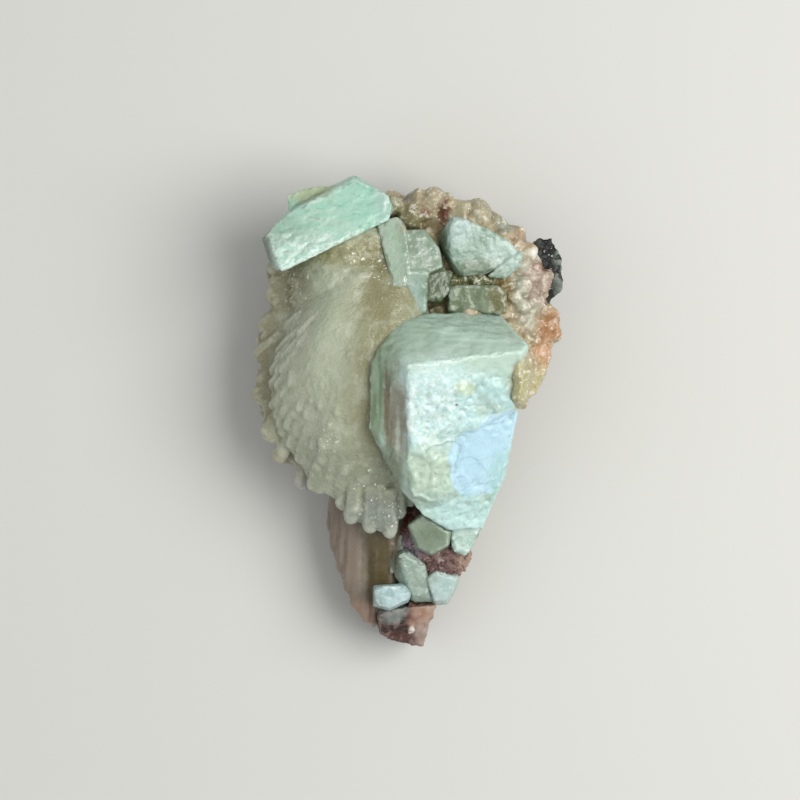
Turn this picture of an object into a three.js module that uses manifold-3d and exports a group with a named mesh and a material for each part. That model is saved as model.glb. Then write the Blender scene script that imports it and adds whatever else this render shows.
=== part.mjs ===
// A stilbite cluster: two sheaves of stilbite blades with green apophyllite crystals and small drusy
// crystals, grown on basalt. It lies on the flat break at the back of the rock.
// Millimetres. +Z up, +Y towards the broad end, origin under the middle of the cluster.
import * as THREE from "three";
import { ConvexGeometry } from "three/addons/geometries/ConvexGeometry.js";
import { mergeVertices } from "three/addons/utils/BufferGeometryUtils.js";
import Module from "manifold-3d";

const wasm = await Module();
wasm.setup();

// Driving dimensions
const LENGTH = 100; // along Y, from the rock's tip to the top crystal
const UNIT = LENGTH / 100; // the places below are for a cluster of 100
const GAP = 0.3 * UNIT; // clearance where two minerals meet
const SHEAF_WAIST = 29.6 * UNIT; // height of the main sheaf where it is narrow
const SHEAF_BELLY = 7 * UNIT; // swelling of the main sheaf between its waist and its ends
const DRUSE_CROWN = 25 * UNIT; // top of the drusy crust
const ROCK_TOP = 17 * UNIT; // top of the basalt, mostly hidden

// Solids and geometry

function solidOf(geometry) {
  const bare = geometry.index ? geometry.toNonIndexed() : geometry.clone();
  bare.deleteAttribute("normal");
  bare.deleteAttribute("uv");
  const merged = mergeVertices(bare, 1e-4);
  const vertProperties = merged.attributes.position.array;
  const triVerts = new Uint32Array(merged.index.array);
  return new wasm.Manifold(new wasm.Mesh({ numProp: 3, vertProperties, triVerts }));
}

function geometryOf(solid) {
  const mesh = solid.getMesh();
  const geometry = new THREE.BufferGeometry();
  geometry.setAttribute("position", new THREE.BufferAttribute(mesh.vertProperties, 3));
  geometry.setIndex(new THREE.BufferAttribute(mesh.triVerts, 1));
  const flat = geometry.toNonIndexed();
  flat.computeVertexNormals();
  return flat;
}

const join = (solids) => solids.reduce((whole, next) => whole.add(next));
const carve = (solid, cutters) => cutters.reduce((left, cutter) => left.subtract(cutter), solid);

// The largest body that a cut leaves, without the crumbs.
function mainBody(solid) {
  return solid.decompose().reduce((best, body) => (body.volume() > best.volume() ? body : best));
}

// The numbers from first to last, a step apart.
function steps(first, last, step) {
  return Array.from({ length: Math.floor((last - first) / step) + 1 }, (_, i) => first + i * step);
}

// The value at a place between the [place, value] pairs of a list in rising order.
function between(pairs, place) {
  const i = Math.max(1, pairs.findIndex(([p]) => p >= place));
  const [[p0, v0], [p1, v1]] = [pairs[i - 1], pairs[i]];
  return THREE.MathUtils.mapLinear(Math.min(Math.max(place, p0), p1), p0, p1, v0, v1);
}

// A repeatable source of numbers from 0 to 1.
function seeded(seed) {
  let state = seed;
  return () => {
    state = (state * 1664525 + 1013904223) % 4294967296;
    return state / 4294967296;
  };
}

// Shapes. Each takes grow, the distance by which it is thickened all round when it is used as a cutter.

// A crystal is the convex form on its corners.
function crystal(corners, grow = 0) {
  const reach = grow * Math.sqrt(3);
  const sixWays = [[1, 0, 0], [-1, 0, 0], [0, 1, 0], [0, -1, 0], [0, 0, 1], [0, 0, -1]];
  const ways = grow === 0 ? [[0, 0, 0]] : sixWays;
  const points = corners.flatMap((corner) => {
    const place = new THREE.Vector3(...corner).multiplyScalar(UNIT);
    return ways.map((way) => place.clone().addScaledVector(new THREE.Vector3(...way), reach));
  });
  return solidOf(new ConvexGeometry(points));
}

const crystals = (group, grow = 0) => join(group.map((corners) => crystal(corners, grow)));

// A closed mesh from rows of points, from the top pole down to the bottom pole, anticlockwise from above.
function closedRows(rows, top, bottom) {
  const positions = [];
  const face = (a, b, c) => positions.push(...a, ...b, ...c);
  const count = rows[0].length;
  for (let j = 0; j < count; j++) {
    const next = (j + 1) % count;
    face(top, rows[0][j], rows[0][next]);
    face(bottom, rows.at(-1)[next], rows.at(-1)[j]);
    for (let i = 0; i + 1 < rows.length; i++) {
      face(rows[i][j], rows[i + 1][j], rows[i + 1][next]);
      face(rows[i][j], rows[i + 1][next], rows[i][next]);
    }
  }
  const geometry = new THREE.BufferGeometry();
  geometry.setAttribute("position", new THREE.Float32BufferAttribute(positions, 3));
  return geometry;
}

// A mound on a closed outline: its crown falls from the middle to a rim, with a belly on the way, and
// its walls draw in to a flat underside.
class Mound {
  constructor({ outline, centre, crown, belly = 0, rim, foot, draw, swell, rings, sides, rough, seed }) {
    Object.assign(this, { crown, belly, rim, foot, draw, swell, rings, rough, seed });
    const corners = outline.map(([x, y]) => new THREE.Vector3(x, y, 0).multiplyScalar(UNIT));
    this.edge = new THREE.CatmullRomCurve3(corners, true).getPoints(sides).slice(0, sides);
    this.middle = new THREE.Vector3(...centre, 0).multiplyScalar(UNIT);
    this.longest = Math.max(...this.edge.map((edge) => edge.distanceTo(this.middle)));
  }

  // The point a share of the way from the middle to the rim.
  at(j, share, z, outward = 0) {
    const edge = this.edge[j % this.edge.length];
    const away = edge.clone().sub(this.middle);
    const reach = away.length() * share + outward;
    return away.setLength(reach).add(this.middle).setZ(z);
  }

  // The height of the crown at a share of a way out of the given reach.
  fall(share, reach) {
    const inside = Math.min(share, 1);
    const bulge = (4 * this.belly * inside * (1 - inside) * reach) / this.longest;
    return this.rim + (this.crown - this.rim) * (1 - inside ** this.swell) + bulge;
  }

  // The height of the crown over any place in plan.
  height(x, y) {
    const away = new THREE.Vector3(x, y, 0).sub(this.middle);
    const nearest = this.edge.reduce((best, edge) => {
      const way = edge.clone().sub(this.middle);
      const turn = way.angleTo(away);
      return turn < best.turn ? { turn, reach: way.length() } : best;
    }, { turn: Infinity, reach: 1 });
    return this.fall(away.length() / nearest.reach, nearest.reach);
  }

  solid(grow = 0) {
    const random = seeded(this.seed);
    const shake = () => (random() - 0.5) * 2 * this.rough;
    const rows = [];
    for (let i = 1; i <= this.rings; i++) {
      const share = 1 - (1 - i / this.rings) ** 1.3;
      rows.push(this.edge.map((edge, j) => {
        const z = this.fall(share, edge.distanceTo(this.middle)) + shake() * share + grow;
        return this.at(j, share, z, shake() * share + grow).toArray();
      }));
    }
    const waist = this.foot + (this.rim - this.foot) * 0.5;
    rows.push(this.edge.map((_, j) => this.at(j, (1 + this.draw) / 2, waist, shake() + grow).toArray()));
    rows.push(this.edge.map((_, j) => this.at(j, this.draw, this.foot - grow, grow).toArray()));
    const top = this.middle.clone().setZ(this.crown + grow).toArray();
    const bottom = this.middle.clone().setZ(this.foot - grow).toArray();
    return solidOf(closedRows(rows, top, bottom));
  }
}

// A stilbite blade: a plate with a gable end, from its root to its tip, turned about its length by roll.
function blade({ root, tip, width, thickness, gable = 0.35, roll = 0 }, grow = 0) {
  const along = tip.clone().sub(root);
  const length = along.length() + 2 * grow;
  const half = width / 2 + grow;
  const shoulder = length - width * gable;
  const plate = new THREE.Shape([
    new THREE.Vector2(0, -half),
    new THREE.Vector2(shoulder, -half),
    new THREE.Vector2(length, -half * 0.3),
    new THREE.Vector2(length, half * 0.3),
    new THREE.Vector2(shoulder, half),
    new THREE.Vector2(0, half),
  ]);
  const depth = thickness + 2 * grow;
  const geometry = new THREE.ExtrudeGeometry(plate, { depth, bevelEnabled: false });
  geometry.translate(-grow, 0, -depth / 2);
  along.normalize();
  const side = new THREE.Vector3(0, 0, 1).cross(along).normalize().applyAxisAngle(along, roll);
  const normal = along.clone().cross(side);
  const frame = new THREE.Matrix4().makeBasis(along, side, normal).setPosition(root);
  return solidOf(geometry.applyMatrix4(frame));
}

// A sheaf is a mound of grown-together blades whose ends stand out at the rim, in tiers, over the
// crown, as shingles, and at its foot, as fingers. ends gives the fan's reach at some of its angles.
class Sheaf {
  constructor({ mound, waist, ends, step, tiers, shingles, fingers, plate, seed }) {
    this.mound = mound;
    const origin = new THREE.Vector3(...waist, 0).multiplyScalar(UNIT);
    const random = seeded(seed);
    const size = (base) => base * (0.85 + random() * 0.4) * UNIT;
    const roll = (most) => (random() - 0.5) * most;
    const first = ends[0][0];
    const last = ends.at(-1)[0];
    const tierBlade = (tier, turn) => {
      const angle = THREE.MathUtils.degToRad(turn + roll(3));
      const reach = between(ends, turn) * tier.reach * (1 + roll(0.03)) * UNIT;
      const out = new THREE.Vector3(-Math.sin(angle), -Math.cos(angle), 0);
      return {
        root: origin.clone().addScaledVector(out, reach * tier.start).setZ(tier.root * UNIT),
        tip: origin.clone().addScaledVector(out, reach).setZ(tier.tip * UNIT),
        width: size(plate.width),
        thickness: size(plate.thickness),
        roll: roll(0.4),
      };
    };
    const shingle = (tip, length, lift) => {
      const out = tip.clone().sub(origin).setZ(0).normalize();
      const root = tip.clone().addScaledVector(out, -length * UNIT);
      tip.z = mound.height(tip.x, tip.y) + lift * UNIT;
      root.z = mound.height(root.x, root.y) - 1 * UNIT;
      const thickness = plate.thickness * UNIT;
      return { root, tip, width: size(plate.width), thickness, roll: roll(0.3) };
    };
    this.blades = [
      ...tiers.flatMap((tier) => {
        return steps(first + tier.shift, last, step).map((turn) => tierBlade(tier, turn));
      }),
      ...shingles.flatMap((row) => {
        const places = steps(row.first, row.last, row.skip);
        return places.map((j) => shingle(mound.at(j, row.share + roll(0.08), 0), row.length, 0.2));
      }),
      ...fingers.map(([x, y]) => shingle(new THREE.Vector3(x, y, 0).multiplyScalar(UNIT), 12, 0.6)),
    ];
  }

  solid(grow = 0) {
    return join([this.mound.solid(grow), ...this.blades.map((one) => blade(one, grow))]);
  }
}

// Small square crystals with a low peak that stand on a mound, leaning outwards.
function drusyPoints(mound, { rows, size, seed }) {
  const random = seeded(seed);
  const points = [];
  for (const { share, first, last, skip, lean } of rows) {
    for (const j of steps(first, last, skip)) {
      const foot = mound.at(j, share + (random() - 0.5) * 0.12, 0);
      foot.z = mound.height(foot.x, foot.y);
      const out = foot.clone().sub(mound.middle).setZ(0).normalize();
      const upward = new THREE.Vector3(random() - 0.5, random() - 0.5, 1);
      const way = out.multiplyScalar(lean).add(upward).normalize();
      const width = size * (0.8 + random() * 0.7) * UNIT;
      points.push({ foot, way, width, turn: random() * Math.PI });
    }
  }
  return points;
}

function squareCrystal({ foot, way, width, turn }) {
  const side = new THREE.Vector3(0, 0, 1).cross(way).normalize().applyAxisAngle(way, turn);
  const front = way.clone().cross(side);
  const corners = [foot.clone().addScaledVector(way, width * 0.8)];
  for (const [a, b] of [[-1, -1], [1, -1], [1, 1], [-1, 1]]) {
    const edge = foot.clone();
    edge.addScaledVector(side, (a * width) / 2).addScaledVector(front, (b * width) / 2);
    corners.push(edge.clone().addScaledVector(way, width * 0.45));
    corners.push(edge.addScaledVector(way, -width * 1.2));
  }
  return solidOf(new ConvexGeometry(corners));
}

// Crystals. A face is a plan of corners on one plane, whose first corner is at height z and which
// climbs by slope for each millimetre along X and Y.
function face(z, slope, plan) {
  const [x0, y0] = plan[0];
  return plan.map(([x, y]) => [x, y, z + slope[0] * (x - x0) + slope[1] * (y - y0)]);
}

// The large apophyllite: a squarish crystal leaning to the lower right, with a raised, etched front
// layer that has broken away at the lower right and left a smooth cleavage face.
const FRONT_SLOPE = [-0.287, 0.384];
const CLEAVED_SLOPE = [-0.465, 0.598];
const LARGE_APOPHYLLITE = [
  [
    ...face(45, FRONT_SLOPE, [[-1, 10], [24.4, 13.4], [22.4, 0.6], [-0.6, -10.2]]),
    ...face(30.4, CLEAVED_SLOPE, [
      [20.6, -5.6], [19.8, -10], [20.3, -13.4], [17.6, -16], [16.6, -21], [15.4, -25], [8, -25],
      [2.8, -21.4],
    ]),
    [-0.2, -18.2, 31], [-1.4, 19.2, 33], [4, 20.4, 29], [18.4, 21, 22], [24.8, 14, 27],
    [-5.8, 14.2, 36.4], [-8, 9.6, 37.4], [-8.2, -3.6, 36], [-5.2, -9.6, 33.6],
    ...face(9, [0, 0], [[0, 14], [16, 14], [16, -16], [3, -16]]),
  ],
  [
    ...face(46, FRONT_SLOPE, [[-0.6, 9.6], [23.6, 12.8], [21.8, 0.8], [8.6, -5.4], [-0.2, -10]]),
    ...face(43, FRONT_SLOPE, [[-0.8, 10], [24, 13], [22.8, 0.2], [9, -6.2], [-0.6, -10]]),
  ],
  [
    ...face(37.9, FRONT_SLOPE, [[-0.2, -9.8], [8.8, -5.4], [9, -16.2], [6.6, -18.6], [0.8, -17.4]]),
    ...face(34.4, FRONT_SLOPE, [[-0.4, -9.4], [9.6, -6], [10, -16.8], [7, -19.6], [0.4, -18]]),
  ],
];

// The upper left apophyllite: a long thick plate across the top of the main sheaf, with a stepped back.
const PLATE_SLOPE = [-0.05, -0.25];
const PLATE_APOPHYLLITE = [
  [
    ...face(33.8, PLATE_SLOPE, [
      [-29.4, 36.4], [-26.4, 29], [-22, 32.4], [-14, 37.2], [-8.4, 39.6], [-4.4, 40], [-4, 42.6],
      [-4.6, 45], [-11.6, 48.2], [-22.8, 42.4], [-27.6, 38.8],
    ]),
    [-30.8, 36.2, 24], [-28.8, 30.4, 22], [-3.4, 42.6, 25], [-11.4, 49.6, 24], [-24, 43.8, 22],
    ...face(15, [0, 0], [[-24, 33], [-9, 40], [-6, 44], [-12, 46], [-24, 40]]),
  ],
  [
    ...face(27.6, [-0.03, -0.2], [[-25.4, 45.2], [-22, 46.6], [-14.6, 47.6], [-15, 41], [-25, 41]]),
    ...face(17, [0, 0], [[-23, 43.6], [-14, 45], [-14, 41], [-23, 40]]),
  ],
];

// The upper middle group: a tall prism, a broad block, a low block and a slender prism, grown together.
const MIDDLE_APOPHYLLITES = [
  [
    ...face(30.4, [0.1, -0.12], [
      [-6.6, 39.4], [-2.4, 40.4], [-0.8, 38], [0.2, 30], [-0.8, 26.2], [-3.2, 26],
    ]),
    ...face(18, [0, 0], [[-7, 39.4], [-1, 40.2], [0.4, 27], [-3.4, 25.6]]),
  ],
  [
    ...face(30.2, [-0.16, -0.2], [
      [-0.4, 37.6], [3, 37.8], [6, 34.2], [6.8, 30.2], [4, 29], [-0.6, 29.4],
    ]),
    ...face(18, [0, 0], [[-0.6, 38], [3.8, 38.6], [7.6, 31], [5, 28], [-0.6, 28]]),
  ],
  [
    ...face(29, [-0.5, 0.1], [[3.8, 30.2], [6.6, 30.4], [9, 28.6], [8.6, 25.4], [6.4, 23], [3.6, 23.6]]),
    ...face(15, [0, 0], [[3.6, 29.6], [9.6, 28.8], [9, 24.4], [3.6, 22.6]]),
  ],
  [
    ...face(32.4, [-0.15, 0.3], [[-1.2, 29], [4, 29.2], [3.2, 26], [3.4, 21], [1.2, 20], [0.6, 23.6]]),
    ...face(19, [0, 0], [[-1, 28.6], [3.8, 28.8], [3.6, 20.2], [0.8, 19.6]]),
  ],
];

// The upper right wedge, with a smaller crystal behind its right end.
const WEDGE_APOPHYLLITE = [
  [
    ...face(29.6, [-0.22, 0.16], [
      [9.2, 40.8], [8, 33.4], [11.4, 28.6], [16, 29], [19.6, 31], [23, 33.4], [21.6, 35.2], [18.4, 37.2],
      [13.4, 38.6], [11, 40.4],
    ]),
    [6.4, 36.8, 25.4], [6.8, 34, 24.6], [9.8, 28.8, 23.6],
    ...face(15, [0, 0], [[8, 38], [9, 30], [12, 28], [20, 31], [13, 38]]),
  ],
  [
    ...face(26.2, [-0.2, 0.2], [[16.6, 28.4], [20.6, 31.8], [24, 33.6], [23, 30.4], [20, 28]]),
    ...face(15, [0, 0], [[17, 28.4], [23, 32], [21, 28.4]]),
  ],
];

// The flat apophyllite behind the large one.
const BACK_APOPHYLLITE = [
  [
    ...face(26.8, [-0.06, 0.2], [[8.4, 26.4], [19.8, 26.2], [20.4, 24], [20.2, 20.6], [8.4, 20.4]]),
    ...face(12, [0, 0], [[8.6, 27.2], [19.4, 27], [19.8, 20.6], [8.8, 20.4]]),
  ],
];

// The small crystal below the large apophyllite, and its paler neighbour at the edge.
const LOWER_RHOMB = [
  [
    ...face(24.6, [-0.12, 0.28], [
      [0.2, -24], [3, -22], [8.2, -25.4], [8, -28], [4.8, -29.8], [2.2, -28.4],
    ]),
    ...face(22.4, [-0.12, 0.28], [
      [-0.2, -24], [3, -21.4], [8.8, -25.4], [8.4, -28.4], [4.8, -30.4], [1.6, -28.8],
    ]),
    ...face(12, [0, 0], [[1, -24], [7.6, -25.4], [7.2, -28], [4.6, -29.6], [2.4, -28]]),
  ],
];
const EDGE_CRYSTAL = [
  [
    ...face(21.4, [-0.3, 0.1], [[8.6, -23.6], [15.2, -23.8], [13.2, -28.8], [11.8, -30.4], [9.4, -29.6]]),
    ...face(11, [0, 0], [[9, -24.4], [13.8, -24.4], [11.6, -29.6]]),
  ],
];

// The rounded crystals over the lower sheaf, the one at its right edge, and the thin leaf beside them.
const LOWER_APOPHYLLITES = [
  [
    ...face(20.6, [-0.22, 0.3], [
      [-2, -30.6], [-0.6, -29.8], [3, -32.6], [3.6, -35.6], [4.2, -39], [0.8, -38.8],
    ]),
    ...face(17.6, [-0.1, 0.2], [
      [-2.6, -30], [-0.6, -29.2], [3.8, -32.4], [4.4, -35.6], [5, -40.4], [0.8, -40.6],
      [-1.4, -37.4], [-3, -34.6],
    ]),
    ...face(8, [0, 0], [[-2, -31], [3.4, -33], [4.2, -39], [0, -38]]),
  ],
  [
    ...face(18.6, [-0.2, 0.3], [
      [4, -35.4], [5.8, -34], [8.2, -36], [10, -35.4], [9.4, -37.6], [7.4, -40], [5.4, -40],
    ]),
    ...face(15.6, [-0.2, 0.2], [
      [3.6, -35], [5.6, -33.2], [10.8, -34.4], [10.4, -37], [8.2, -41], [5.4, -41.2],
    ]),
    ...face(7, [0, 0], [[4, -36], [10, -36], [7.6, -40.4]]),
  ],
  [
    ...face(16.4, [0.3, -0.05], [
      [-5.2, -30.8], [-4, -28], [-1.4, -26], [-1.4, -29.4], [-2.6, -32.4], [-3.8, -34.6],
    ]),
    ...face(9, [0, 0], [[-5, -31], [-1.4, -26.6], [-2, -33], [-3.8, -34.4]]),
  ],
];

// The pale block above the rock's tip.
const TIP_BLOCK = [
  [
    ...face(21, [-0.12, 0.2], [
      [-7, -37.6], [-5.2, -37], [-1.6, -37.2], [-0.2, -38.6], [-0.6, -39.6], [-4.2, -41.4], [-6.8, -40.6],
    ]),
    ...face(18.4, [-0.12, 0.2], [
      [-7.4, -37], [-1, -36.6], [0.4, -38.6], [-0.2, -40.4], [-4.2, -42.2], [-7.4, -41.2],
    ]),
    ...face(9, [0, 0], [[-6.8, -38], [-1, -37.6], [-1, -40], [-6.6, -40.6]]),
  ],
];

// The main sheaf fans down and to the left from a waist under the middle crystals.
const mainSheaf = new Sheaf({
  mound: new Mound({
    outline: [
      [3, 24], [-1, 31], [-3, 38], [-14, 41], [-23, 35], [-23.6, 27], [-24.6, 20], [-27.2, 12],
      [-29.6, 4], [-28.4, -3], [-25.4, -8.6], [-21.6, -13], [-17.4, -16.2], [-13, -19], [-8.6, -21],
      [-4, -22.6], [0, -18], [4, -4], [5, 10],
    ],
    centre: [-5, 33], crown: SHEAF_WAIST, belly: SHEAF_BELLY, rim: 23.6 * UNIT, foot: 9 * UNIT,
    draw: 0.78, swell: 4, rings: 5, sides: 36, rough: 0.35, seed: 5,
  }),
  waist: [-5, 33],
  ends: [
    [-6, 55], [13, 53], [19, 52.2], [27, 50], [34, 47.4], [42, 41.2], [53, 34], [67, 27], [83, 25],
  ],
  step: 8.6,
  tiers: [
    { reach: 0.95, start: 0.66, root: 16, tip: 14.2, shift: 6.4 },
    { reach: 1, start: 0.62, root: 19.6, tip: 18, shift: 0 },
    { reach: 0.99, start: 0.66, root: 24.4, tip: 22.4, shift: 4.3 },
  ],
  shingles: [{ share: 0.95, length: 9, first: 20, last: 29, skip: 1 }],
  fingers: [[-13.4, -21.6], [-10.6, -24.4], [-7.6, -26.2], [-4.9, -26.6], [-2.4, -27]],
  plate: { width: 5.6, thickness: 2.4 },
  seed: 11,
});

// The lower sheaf hangs from under the main one; its blade ends step down to the rock's tip.
const lowerSheaf = new Sheaf({
  mound: new Mound({
    outline: [
      [0, 0], [-8, -3], [-14, -12], [-15, -19], [-14.4, -26], [-12, -34], [-9.6, -40.4], [-7, -45.4],
      [-3, -45], [-0.6, -36], [2, -26], [3, -12],
    ],
    centre: [-4, -6], crown: 17 * UNIT, belly: 2 * UNIT, rim: 12.8 * UNIT, foot: 5 * UNIT,
    draw: 0.8, swell: 3, rings: 4, sides: 24, rough: 0.3, seed: 9,
  }),
  waist: [-5, 2],
  ends: [[0, 49.4], [10, 41], [24.5, 27]],
  step: 5.2,
  tiers: [
    { reach: 0.97, start: 0.6, root: 9, tip: 7, shift: 2 },
    { reach: 1, start: 0.6, root: 13, tip: 11.6, shift: 0 },
  ],
  shingles: [{ share: 0.94, length: 8, first: 6, last: 14, skip: 2 }],
  fingers: [],
  plate: { width: 3.4, thickness: 2.4 },
  seed: 23,
});

// The drusy crust that the upper crystals stand on: small tan and pink crystals down the right side.
const druseMound = new Mound({
  outline: [
    [-8, 44], [-6, 34], [-2, 22], [4, 12], [14, 4], [20, 0.4], [24.4, 0.8], [26.8, 5], [28.8, 9.4],
    [31.4, 14], [31.8, 18], [29, 22.4], [29.2, 29], [26.2, 35.6], [20, 39.2], [13.6, 43.6], [6, 46.2],
    [-3, 46.4],
  ],
  centre: [14, 32], crown: DRUSE_CROWN, rim: 19 * UNIT, foot: 11 * UNIT, draw: 0.84, swell: 3,
  rings: 4, sides: 34, rough: 0.7, seed: 31,
});
const drusePoints = drusyPoints(druseMound, {
  rows: [
    { share: 0.93, first: 12, last: 34, skip: 1, lean: 1.4 },
    { share: 0.74, first: 13, last: 34, skip: 3, lean: 0.6 },
  ],
  size: 2.9,
  seed: 37,
});

// The red-brown druse around the lower crystal.
const redMound = new Mound({
  outline: [
    [-2, -22], [-2.6, -26], [-1, -30], [3, -33.8], [8.6, -36], [11.4, -33.4], [12.8, -29], [10, -26],
    [3, -20],
  ],
  centre: [4.5, -28.5], crown: 18.4 * UNIT, rim: 15.4 * UNIT, foot: 8 * UNIT, draw: 0.86, swell: 3,
  rings: 3, sides: 18, rough: 0.5, seed: 41,
});
const redPoints = drusyPoints(redMound, {
  rows: [{ share: 0.8, first: 2, last: 15, skip: 2, lean: 0.5 }],
  size: 2.6,
  seed: 43,
});

// The basalt: a broken slab with a flat back, a lump at its right edge and a tip at the narrow end.
const rockMound = new Mound({
  outline: [
    [3.2, -49.6], [4.8, -43], [8.4, -38], [11.6, -32], [14.8, -25.6], [17, -18], [20, -9], [24.6, 3],
    [29, 13], [30.4, 22], [30.6, 30], [26.4, 35], [18, 39.6], [6, 43.6], [-6, 44], [-18, 41], [-25.4, 33],
    [-26.6, 22], [-26.8, 8], [-23.4, -5], [-16, -14], [-12, -27], [-9, -39], [-6.4, -46.4], [-3, -49],
  ],
  centre: [1, 2], rim: 12 * UNIT, crown: ROCK_TOP, foot: 0, draw: 0.84, swell: 4,
  rings: 3, sides: 36, rough: 0.8, seed: 53,
});
const ROCK_LUMP = [
  [
    [27.4, 36.8, 20], [30.2, 37, 20.6], [32.6, 32.4, 19.4], [32.4, 26, 17.6], [29.4, 23, 16.6],
    [26, 24, 18], [25, 34, 18], [26, 35, 6], [31, 33, 5], [31.4, 27, 5], [27, 24, 5],
  ],
];
const ROCK_TIP = [
  [
    [-6.8, -43.4, 16], [-6.6, -47, 14.6], [-4.6, -49.2, 13.6], [3.2, -50.4, 13], [3.8, -44, 15.6],
    [6, -41.2, 15], [-1, -41, 17.4], [-5.6, -46, 0], [-3, -48.6, 0], [2.4, -48.8, 0], [4.6, -42, 0],
    [-5, -40, 0],
  ],
];

// Every piece, cut clear of the ones that it grew round.
const apophyllites = {
  apophyllite_large: LARGE_APOPHYLLITE,
  apophyllite_plate: PLATE_APOPHYLLITE,
  apophyllite_middle: MIDDLE_APOPHYLLITES,
  apophyllite_wedge: WEDGE_APOPHYLLITE,
  apophyllite_back: BACK_APOPHYLLITE,
  apophyllite_lower_rhomb: LOWER_RHOMB,
  apophyllite_edge: EDGE_CRYSTAL,
  apophyllite_lower_group: LOWER_APOPHYLLITES,
  apophyllite_tip_block: TIP_BLOCK,
};
const pieces = new Map();
const cutters = [];

function place(name, solid, cutter) {
  pieces.set(name, mainBody(carve(solid, cutters)));
  cutters.push(cutter);
}

for (const [name, group] of Object.entries(apophyllites)) {
  place(name, crystals(group), crystals(group, GAP));
}
const rock = (grow) => join([rockMound.solid(grow), crystals([...ROCK_LUMP, ...ROCK_TIP], grow)]);
place("basalt_matrix", rock(0), rock(GAP));
place("stilbite_main_sheaf", mainSheaf.solid(), mainSheaf.solid(GAP));
place("stilbite_lower_sheaf", lowerSheaf.solid(), lowerSheaf.solid(GAP));
const drusy = (mound, points) => join([mound.solid(), ...points.map(squareCrystal)]);
place("drusy_crust", drusy(druseMound, drusePoints), druseMound.solid(GAP));
place("red_druse", drusy(redMound, redPoints), redMound.solid(GAP));

// Finishes
const FINISHES = {
  apophyllite: { color: 0xb9d8c6, roughness: 0.35, metalness: 0 },
  stilbite: { color: 0xb9b99d, roughness: 0.45, metalness: 0 },
  drusy: { color: 0xc8a98a, roughness: 0.5, metalness: 0 },
  red: { color: 0x8a6a5c, roughness: 0.7, metalness: 0 },
  basalt: { color: 0x55504c, roughness: 0.85, metalness: 0 },
};

function finishOf(name) {
  const key = Object.keys(FINISHES).find((word) => name.includes(word));
  return new THREE.MeshStandardMaterial({ ...FINISHES[key], flatShading: true });
}

const cluster = new THREE.Group();
for (const [name, solid] of pieces) {
  const mesh = new THREE.Mesh(geometryOf(solid), finishOf(name));
  mesh.name = name;
  cluster.add(mesh);
}

// The origin goes under the middle of the whole cluster, at the height of the flat back.
const box = new THREE.Box3().setFromObject(cluster);
const middle = box.getCenter(new THREE.Vector3());
for (const mesh of cluster.children) {
  mesh.geometry.translate(-middle.x, -middle.y, -box.min.z);
}

export default cluster;
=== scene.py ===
"""The stilbite cluster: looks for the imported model, in metres, in its frame. It lies on its flat back."""

import math

import bmesh
import bpy
import numpy as np
from mathutils import Euler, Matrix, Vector, noise


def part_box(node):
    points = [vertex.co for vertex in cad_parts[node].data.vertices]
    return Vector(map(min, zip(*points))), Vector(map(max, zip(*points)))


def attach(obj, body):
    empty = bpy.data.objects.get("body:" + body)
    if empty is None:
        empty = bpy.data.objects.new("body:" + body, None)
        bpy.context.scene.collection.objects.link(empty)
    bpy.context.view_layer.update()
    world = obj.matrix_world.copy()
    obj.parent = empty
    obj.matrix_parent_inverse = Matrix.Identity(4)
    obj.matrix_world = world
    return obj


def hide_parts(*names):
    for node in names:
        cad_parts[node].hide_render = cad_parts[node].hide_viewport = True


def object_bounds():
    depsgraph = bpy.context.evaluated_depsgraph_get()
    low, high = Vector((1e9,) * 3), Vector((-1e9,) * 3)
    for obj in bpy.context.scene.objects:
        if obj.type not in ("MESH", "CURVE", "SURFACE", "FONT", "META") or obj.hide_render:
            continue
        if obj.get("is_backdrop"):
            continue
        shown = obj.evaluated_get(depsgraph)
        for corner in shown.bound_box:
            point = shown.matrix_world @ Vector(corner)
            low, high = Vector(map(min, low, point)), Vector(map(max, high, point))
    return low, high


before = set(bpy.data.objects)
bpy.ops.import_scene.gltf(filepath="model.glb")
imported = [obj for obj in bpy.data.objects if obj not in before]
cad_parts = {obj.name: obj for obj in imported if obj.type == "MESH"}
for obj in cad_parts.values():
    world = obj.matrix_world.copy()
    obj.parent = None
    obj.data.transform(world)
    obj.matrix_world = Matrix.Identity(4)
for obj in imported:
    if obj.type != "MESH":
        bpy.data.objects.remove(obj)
cad_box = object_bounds()

# The basalt matrix: a dark fine-grained rock with a blistered skin, broken off flat at the back.
# It shows as a black lump at the right edge and as a stained brown tip at the narrow end, and the
# crystals are rooted in it.
MM = 0.001
CRYSTAL_CORNER = Vector((-8.2, -25.0, 9.0)) * MM
ORIGIN = Vector(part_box("apophyllite_large")[0]) - CRYSTAL_CORNER
ROCK_VOXEL = 0.5
ROCK_GROWTH = 0.3


def linear(hex_colour):
    """A colour written as it looks on a screen, as the linear RGBA that a socket takes."""
    parts = [int(hex_colour[i:i + 2], 16) / 255 for i in (0, 2, 4)]
    return [c / 12.92 if c <= 0.04045 else ((c + 0.055) / 1.055) ** 2.4 for c in parts] + [1.0]


def add_object(name, mesh):
    piece = bpy.data.objects.new(name, mesh)
    bpy.context.collection.objects.link(piece)
    return piece


def form_object(name, form):
    """One object with the mesh of a form, which is freed."""
    mesh = bpy.data.meshes.new(name)
    form.to_mesh(mesh)
    form.free()
    return add_object(name, mesh)


def cad_copy(name, *nodes):
    """One object with the merged meshes of CAD nodes."""
    form = bmesh.new()
    for node in nodes:
        form.from_mesh(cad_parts[node].data)
    bmesh.ops.remove_doubles(form, verts=form.verts, dist=0.002 * MM)
    return form_object(name, form)


def made_plain(piece):
    """The piece with its modifiers worked into its mesh."""
    evaluated = piece.evaluated_get(bpy.context.evaluated_depsgraph_get())
    mesh = bpy.data.meshes.new_from_object(evaluated)
    piece.modifiers.clear()
    piece.data = mesh
    return piece


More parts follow.
